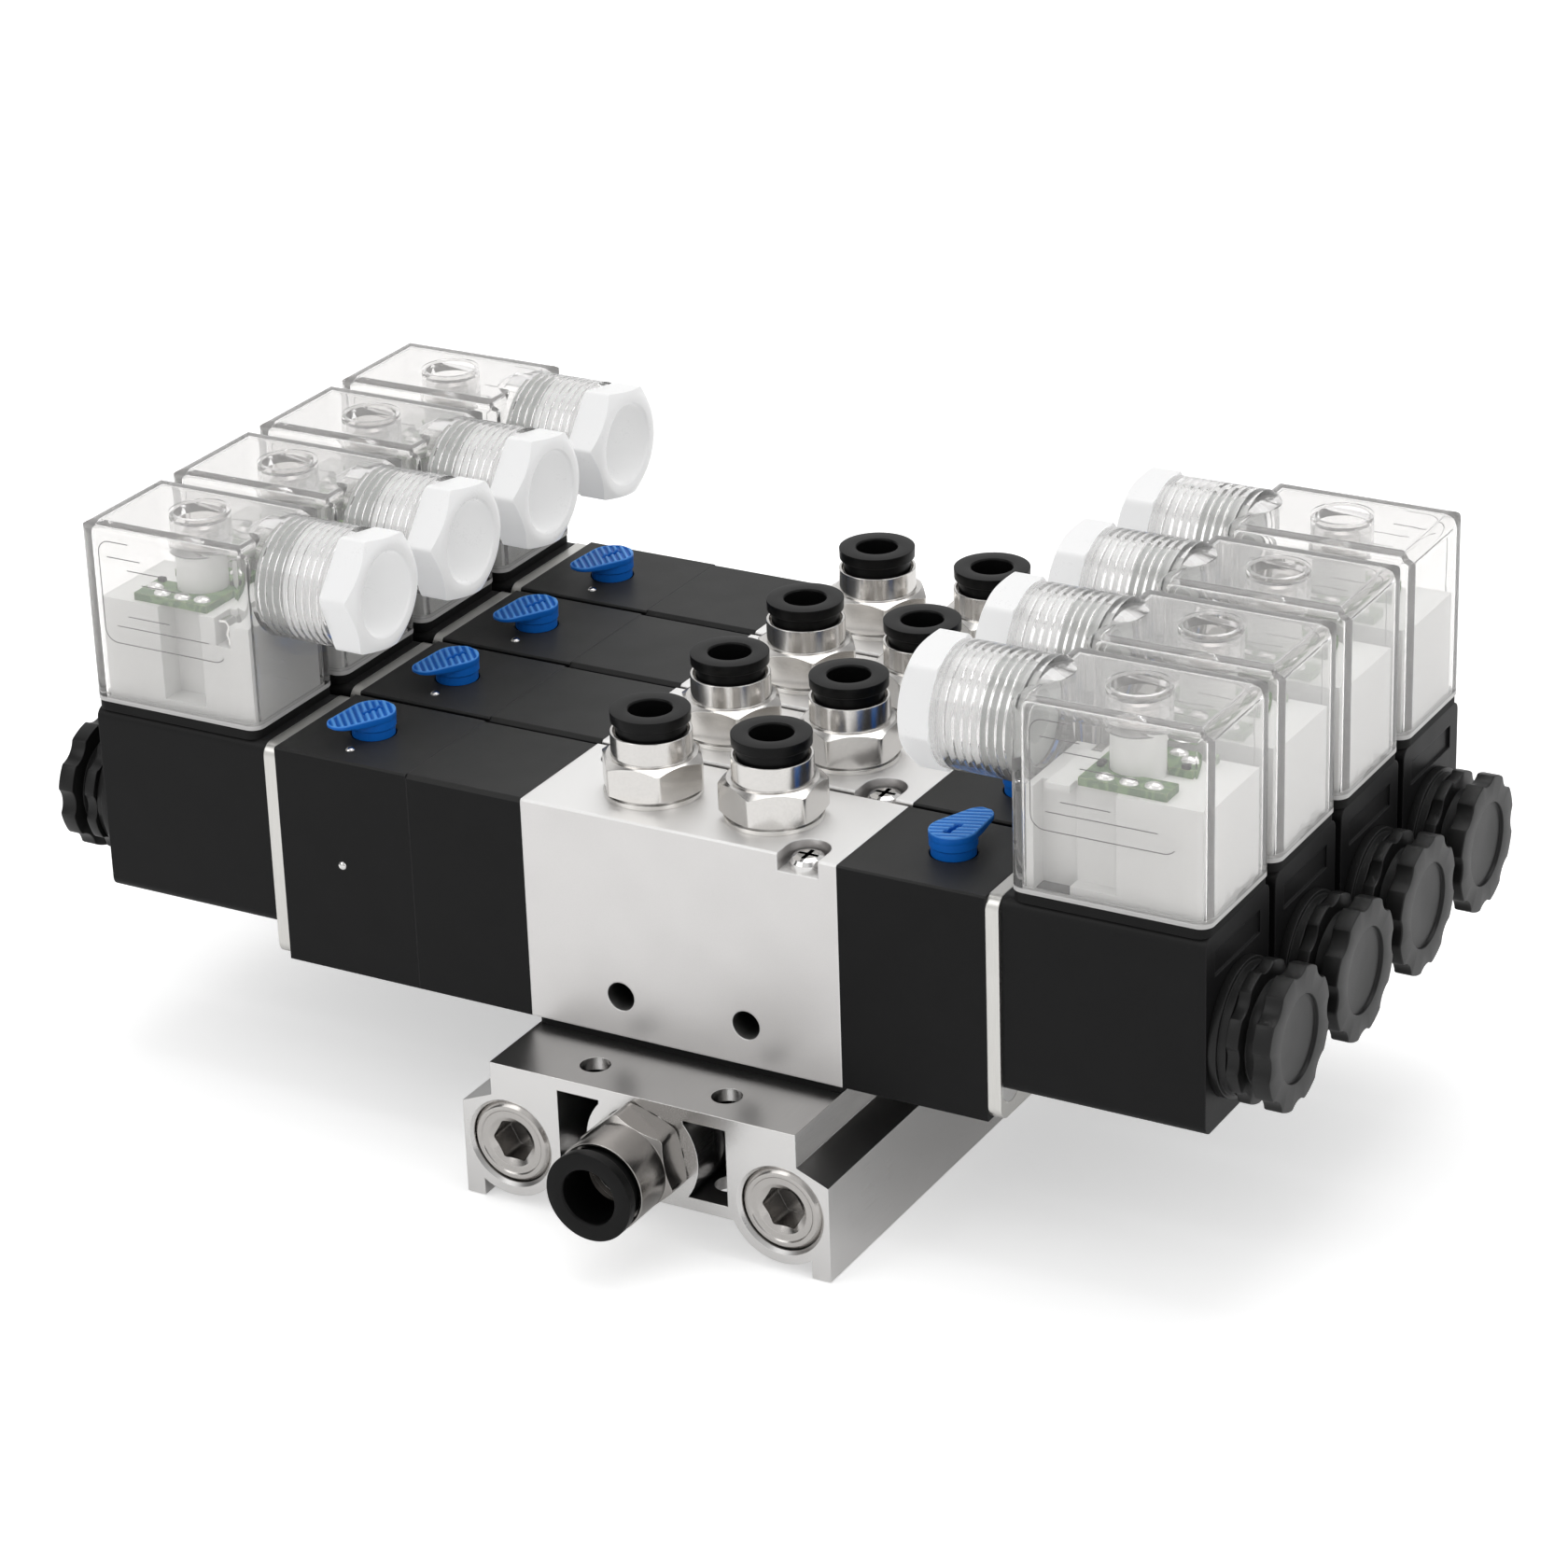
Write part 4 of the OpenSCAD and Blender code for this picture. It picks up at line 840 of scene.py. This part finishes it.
# %% Plugs
SOCKET_FLATS = 6.0
PORT_X, PORT_Z = 22.6, 9.7
plug = turned([(0, -8.3), (6.5, -8.3), (6.5, -0.9, 0.1), (5.8, -0.2, 0.1), (5.2, -0.2, 0.1),
               (5.0, -0.45, 0.1), (4.0, -0.45, 0.1), (2.6, -1.3, 0, 1), (2.6, -5.3, 0, 1), (0, -5.3)],
              hexagon_angles(), hexagon(SOCKET_FLATS), hole=True)
plugs = [placed(plug, (middle_x + side * PORT_X, base_low[1], PORT_Z), X, Z) for side in (-1, 1)]
plugs.append(placed(plug, (middle_x, base_high[1], supply_at[2]), -X, Z))
piece("socket_plugs", [(np.stack(plugs), False)], "plug_steel", ["port_plugs"])

# %% [markdown]
# Override knobs
#
# A knob presses the valve open by hand. It is a hub with a flat lever on top that narrows to a
# small round tip. The ribs could be a bump in the material, but they are wide enough to cast a
# shadow, so they are in the shape. Seen from above, the half width at each place along the lever
# is known: the hub's circle, a straight flank that touches both circles, and the tip's circle. Over
# that outline the height is a formula too: slanting ribs, a screwdriver slot, and falling edges.

# %% Outline of a knob
HUB_R, TIP_R, TIP_AT = 3.55, 2.2, 5.9


def half_width(along):
    """Half the knob's width at a distance along the lever from the hub's axis.

    Beside the hub and the tip it is the root of the radius squared less the distance squared.
    Between them it is the line that touches both circles, which leans by the angle whose cosine is
    the difference of the radii over the distance of the middles.
    """
    lean = np.arccos((HUB_R - TIP_R) / TIP_AT)
    start, end = HUB_R * np.cos(lean), TIP_AT + TIP_R * np.cos(lean)
    hub = np.sqrt(np.maximum(HUB_R ** 2 - along ** 2, 0))
    tip = np.sqrt(np.maximum(TIP_R ** 2 - (along - TIP_AT) ** 2, 0))
    flank = (HUB_R - along * np.cos(lean)) / np.sin(lean)
    return np.where(along < start, hub, np.where(along > end, tip, flank))


# %% Lever of a knob
LEVER_T, THINNEST, EDGE_R, UNDER_EDGE = 1.3, 0.02, 0.35, 0.2
RIB_PITCH, RIB_BORDER, RIB_FADE = 1.05, 0.15, 0.25
SLOT_DEPTH, SLOT_HALF_W, SLOT_HALF_L, SLOT_FADE, SLOT_END_FADE = 0.9, 0.45, 1.85, 0.1, 0.15


def knob_rings(rib_slant, rows=150, across=64):
    """Rings round the lever, one for each place along it: over the top and back along the underside.

    Places along it follow a cosine and places across it a sine, so both crowd towards the edge. The
    top falls by a quarter circle at the edge, and by the groove between ribs or the slot, whichever
    is deeper. The grooves are a cosine wave across the ribs, cut off at 0 and 1.
    """
    reach = TIP_AT + TIP_R
    along = (reach - HUB_R) / 2 - (reach + HUB_R) / 2 * np.cos(np.pi * np.linspace(0, 1, rows))[:, None]
    share = np.sin(np.pi / 2 * np.linspace(-1, 1, across))[None, :]
    width = half_width(along)
    x, y = width * share, along + 0 * share
    inside = np.minimum(width * (1 - abs(share)), np.minimum(reach - y, y + HUB_R))
    edge = EDGE_R * (1 - np.sqrt(1 - np.clip(1 - inside / EDGE_R, 0, 1) ** 2))
    slanted = y * np.cos(rib_slant) - x * np.sin(rib_slant)
    ribs = RIB_DEPTH * np.clip(0.5 - 1.2 * np.cos(2 * np.pi * slanted / RIB_PITCH), 0, 1)
    ribs = ribs * np.clip((inside - RIB_BORDER) / RIB_FADE, 0, 1)
    slot = SLOT_DEPTH * np.clip((SLOT_HALF_W - abs(x)) / SLOT_FADE, 0, 1)
    slot = slot * np.clip((SLOT_HALF_L - abs(y)) / SLOT_END_FADE, 0, 1)
    top = KNOB_TOP - edge - np.maximum(ribs, slot)
    rise = LEVER_T / 2 * np.clip((y - HUB_R) / (reach - HUB_R), 0, 1)
    under = KNOB_TOP - LEVER_T + rise + UNDER_EDGE * np.clip(1 - inside / UNDER_EDGE, 0, 1) ** 2
    over = np.stack([x, y, top], -1)
    back = np.stack([x, y, np.minimum(under, top - THINNEST)], -1)[:, ::-1]
    return np.concatenate([over, back], 1)


# %% [markdown]
# Knobs at both ends
#
# The hub is slimmer below, where it goes down into its well when it is pressed. The levers don't
# point quite the same way at the two ends, and their ribs slant to opposite sides.

# %% Knobs
LEVER_TURN = {"left": np.radians(17), "right": np.radians(10)}
RIB_SLANT = {"left": np.radians(-30), "right": np.radians(30)}
FOOT_R, PRESS = 3.28, 1.2
hub_top = KNOB_TOP - LEVER_T + 0.1
hub = turned([(0, -0.1), (FOOT_R, -0.1, 0.1), (FOOT_R, PRESS), (HUB_R - 0.05, PRESS + 0.25),
              (HUB_R - 0.05, hub_top), (0, hub_top)], even_angles(64))
for side, station in ENDS:
    name = SIDE_NAME[side]
    turn = LEVER_TURN[name]
    lever = (np.cos(turn), -np.sin(turn), 0), (np.sin(turn), np.cos(turn), 0)
    sheets = [(to_row(side, station, placed(part, (OVERRIDE_U, 0, valve_top), *lever)), False)
              for part in (knob_rings(RIB_SLANT[name]), hub)]
    node = f"override_knob_{name}_{station}"
    piece(f"knob_{name}_{station}", sheets, "blue_nylon", [node], node)

# %% [markdown]
# Ball plugs
#
# Small steel balls are pressed into the ends of the air drillings in each pilot housing. Whole
# balls would be hidden for the most part, so only the low dome that shows is made, with a flat foot
# that closes it under the surface.

# %% Balls
BALL_R, BALL_SUNK, BALL_U = 0.85, 0.45, 12.5
TOP_BALL_ACROSS, SIDE_BALL_ACROSS, SIDE_BALL_Z = 6.8, 11.0, 41.7
arch = [(BALL_R * np.sin(a), BALL_R * np.cos(a) - BALL_SUNK) for a in np.linspace(0, np.pi / 2, 8)]
dome = turned([*arch, (0, -BALL_SUNK)], even_angles(24))
on_top = placed(dome, (BALL_U, TOP_BALL_ACROSS, valve_top), X, Y)
on_side = placed(dome, (BALL_U, SIDE_BALL_ACROSS, SIDE_BALL_Z), Z, X)
piece("ball_plugs", [(at_ends(on_top), False), (at_ends(on_side), False)], "bright_steel")

# %% [markdown]
# Parts on the boards
#
# Under each clear cover a green board lies on the terminal block. Mounds of solder hold it to the
# contact blades, and two small parts lie beside the post. Solder draws itself into a soft heap, so
# a mound is a profile from two curves. A part is a block with rounded upright corners.

# %% Mounds and blocks
def mound(radius, height):
    """Solder mound: the radius falls as a cosine while the height rises as a sine, over a flat foot."""
    rise = [(radius * np.cos(a) ** 1.4, height * np.sin(a)) for a in np.linspace(0, np.pi / 2, 7)[:-1]]
    return turned([*rise, (0, height)], even_angles(28))


def brick(size, rounding=0.25, per_side=6):
    """Small block with rounded upright corners and a bevelled top.

    The outline is a superellipse: the cosine and sine of the angle to the power of rounding, with
    their signs kept. A level is (scale of the outline, share of the height).
    """
    angle = even_angles(8 * per_side)
    waves = np.stack([np.cos(angle), np.sin(angle)], -1)
    unit = np.sign(waves) * abs(waves) ** rounding / 2
    scale, level = np.array([(0, 0), (1, 0), (1, 0.85), (0.9, 1), (0, 1)]).T[:, :, None, None]
    return np.concatenate([unit * scale * size[:2], level * size[2] + 0 * unit[:, :1]], -1)


# %% Board parts
MOUND_R, MOUND_H, MOUND_STRETCH = 1.05, 0.75, (1.35, 1, 1)
MOUNDS = ((-2.3, -5.7), (1.4, -5.9), (5.0, -5.6), (5.9, 4.0), (3.4, 5.8), (-0.3, 5.8), (-3.7, 5.5))
CHIPS = ((6.4, 1.6, (1.2, 0.9, 0.6)), (-4.5, -2.0, (0.9, 1.6, 0.6)))
board_at = np.array([COVER_U, 0, BOARD_TOP])
blobs = [(at_ends(board_at + (out, across, 0) + mound(MOUND_R, MOUND_H) * MOUND_STRETCH), False)
         for out, across in MOUNDS]
piece("solder_mounds", blobs, "solder")
chips = [(at_ends(board_at + (out, across, 0) + brick(size)), False) for out, across, size in CHIPS]
piece("board_parts", chips, "moulded_black")

# %% [markdown]
# Lines on the covers
#
# Each broad face of a cover has a rounded frame and a few short lines moulded into it, and a bent
# spring contact shows through it at the block's inner corner. A curve with a round bevel would
# look like wire, but both are flat strips. So a small rectangle is carried along a path: its height
# stays on one direction, and its width turns with the path.

# %% Carried rectangle
def carried(path, direction, half_height, half_width):
    """Closed bar along a path: four corners round each point, and both ends drawn to a point.

    A corner is the point plus or minus half_height along direction, and plus or minus half_width
    along the cross product of the path's course and direction.
    """
    path, direction = np.asarray(path, float), np.asarray(direction, float)
    aside = np.cross(np.gradient(path, axis=0), direction)
    aside /= np.linalg.norm(aside, axis=1)[:, None]
    around = [h * half_height * direction + w * half_width * aside
              for h, w in ((-1, -1), (1, -1), (1, 1), (-1, 1))]
    rings = path[:, None] + np.stack(around, 1)
    return np.concatenate([np.repeat(path[:1, None], 4, 1), rings, np.repeat(path[-1:, None], 4, 1)])


def arc(centre, radius, first, last, count=7):
    """Points on a circle from one angle to another, in degrees: radius times cosine and sine."""
    angle = np.radians(np.linspace(first, last, count))
    return np.stack([centre[0] + radius * np.cos(angle), centre[1] + radius * np.sin(angle)], -1)


# %% Face lines
LINE_HALF_H, LINE_HALF_W = 0.03, 0.07
SHORT_LINES = ((5, 11, 24.0), (8.5, 15, 22.3), (11, 19.5, 20.3), (8, 15.5, 14.8), (5.8, 22.5, 13.0))
frame_path = [(9, 26.5), *arc((5.5, 24.5), 2, 90, 180), *arc((5.6, 12.3), 2.1, 180, 270),
              *arc((23.4, 12.3), 2.1, 270, 320)]
line_paths = [frame_path] + [np.linspace((start, up), (end, up), 3) for start, end, up in SHORT_LINES]
lines = []
for face in (-1, 1):
    for path in line_paths:
        across, up = np.asarray(path, float).T
        out = COVER_IN + across if face < 0 else COVER_IN + COVER_L - across
        points = np.stack([out, 0 * out + face * COIL_W / 2, COVER_FOOT + up], -1)
        lines.append((at_ends(carried(points, Y, LINE_HALF_H, LINE_HALF_W)), False))
piece("cover_lines", lines, "moulded_line")

# %% Spring contacts
CONTACT_ACROSS, CONTACT_HALF_H, CONTACT_HALF_W = 6.4, 1.1, 0.2
CONTACT = ((33.6, 15.9), (32.4, 16.0), (31.9, 15.2), (32.3, 13.9), (31.9, 12.8), (32.1, 12.1))
contact = np.array([(out, CONTACT_ACROSS, COVER_FOOT + up) for out, up in CONTACT])
piece("spring_contacts", [(at_ends(carried(contact, Y, CONTACT_HALF_H, CONTACT_HALF_W)), False)],
      "bright_steel")

# %% [markdown]
# Floor
#
# The photograph has no ground at all, only white. A white floor stands for it, because it also
# catches a soft shadow that shows how the object stands. It is too dark to look white by the
# lamps alone, so it glows a little, but only for the camera, in mirrors and through clear plastic.

# %% Floor
FLOOR_HALF, FLOOR_DROP = 6.0, 0.0002
FLOOR_GLOW, FLOOR_MIRROR = 0.45, 0.10
SEEING_RAYS = ("Camera", "Glossy", "Transmission")


def white_floor():
    """White paint that glows for the camera and through clear plastic, and faintly in mirrors."""
    f = Finish("studio_floor")
    seen = {name: f.node("ShaderNodeLightPath", output=f"Is {name} Ray") for name in SEEING_RAYS}
    glow = (seen["Camera"] + seen["Transmission"]).limited() * FLOOR_GLOW + seen["Glossy"] * FLOOR_MIRROR
    return f.surface(Base_Color=colour(0.90, 0.90, 0.90), Roughness=0.9,
                     Emission_Color=f.blend(glow.limited(), colour(0, 0, 0), colour(1, 1, 1)),
                     Emission_Strength=1.0)


floor_mesh = bpy.data.meshes.new("floor")
floor_corners = [(x * FLOOR_HALF, y * FLOOR_HALF, -FLOOR_DROP)
                 for x, y in ((-1, -1), (1, -1), (1, 1), (-1, 1))]
floor_mesh.from_pydata(floor_corners, [], [(0, 1, 2, 3)])
floor_mesh.materials.append(white_floor())
floor = bpy.data.objects.new("floor", floor_mesh)
bpy.context.collection.objects.link(floor)
print("floor", 2 * FLOOR_HALF, "m wide")

# %% [markdown]
# World
#
# The world is the white sweep of a studio. The camera sees it at full white, also through clear
# plastic, while the light that falls on the object stays at a plain level. In reflections it has
# three darker gaps, as between soft boxes, because bright metal with nothing dark to mirror looks
# like white paint.

# %% World
WORLD_LEVEL, MIRROR_LEVEL, GAP_SLOPE = 0.62, 0.80, 8
GAPS = ((200, 32, 0.15), (318, 24, 0.25), (75, 26, 0.30))


def gap_level(tree):
    """Product over GAPS (azimuth, half width, level) of 1 less the darkness within each gap.

    A direction is in a gap as far as the cosine of its angle from the gap's middle exceeds the
    cosine of the gap's half width, times GAP_SLOPE.
    """
    heading = add_node(tree, "ShaderNodeTexCoord", output="Generated")
    flat = add_node(tree, "ShaderNodeVectorMath", {"operation": "MULTIPLY"}, {0: heading, 1: (1, 1, 0)})
    unit = add_node(tree, "ShaderNodeVectorMath", {"operation": "NORMALIZE"}, {0: flat})
    level = None
    for azimuth, half_width_of_gap, low in GAPS:
        aim = np.radians(azimuth)
        along = add_node(tree, "ShaderNodeVectorMath", {"operation": "DOT_PRODUCT"},
                         {0: unit, 1: (np.cos(aim), np.sin(aim), 0)}, output="Value")
        inside = ((along - float(np.cos(np.radians(half_width_of_gap)))) * GAP_SLOPE).limited()
        open_share = 1 - inside * (1 - low)
        level = open_share if level is None else level * open_share
    return level


def studio_world():
    """White for the eye, gapped in reflections, and WORLD_LEVEL for all other light."""
    world = bpy.data.worlds.new("studio")
    world.use_nodes = True
    tree = world.node_tree
    tree.nodes.clear()
    light = {name: add_node(tree, "ShaderNodeLightPath", output=f"Is {name} Ray") for name in SEEING_RAYS}
    clear = (light["Camera"] + light["Transmission"]).limited()
    mirror = light["Glossy"] * (1 - clear)
    plain = (1 - clear - mirror).limited()
    strength = clear + mirror * gap_level(tree) * MIRROR_LEVEL + plain * WORLD_LEVEL
    shade = add_node(tree, "ShaderNodeBackground", {}, {"Color": colour(1, 1, 1), "Strength": strength})
    add_node(tree, "ShaderNodeOutputWorld", {}, {"Surface": shade}, output=None)
    bpy.context.scene.world = world


studio_world()
print("world", WORLD_LEVEL, "with", len(GAPS), "gaps in reflections")

# %% [markdown]
# Lamps
#
# Three square soft boxes stand round the object: a key light at the left of the camera, a weaker
# fill at the right, and a broad one overhead. Large lamps give soft shadows, as a studio does, and
# small ones would put hard spots on the black plastic.

# %% Lamps
LAMP_AIM = Vector((0, 0, 0.05))


def soft_box(name, at, size, power):
    """Square lamp at a place in metres, turned towards the middle of the object."""
    data = bpy.data.lights.new(name, "AREA")
    data.shape, data.size, data.energy = "SQUARE", size, power
    lamp = bpy.data.objects.new(name, data)
    lamp.location = at
    lamp.rotation_euler = (LAMP_AIM - Vector(at)).to_track_quat("-Z", "Y").to_euler()
    bpy.context.collection.objects.link(lamp)


soft_box("key", (-0.55, -0.75, 0.85), 0.7, 2.0)
soft_box("fill", (0.95, -0.35, 0.55), 0.6, 1.2)
soft_box("top", (0.0, 0.25, 1.1), 0.9, 4.2)
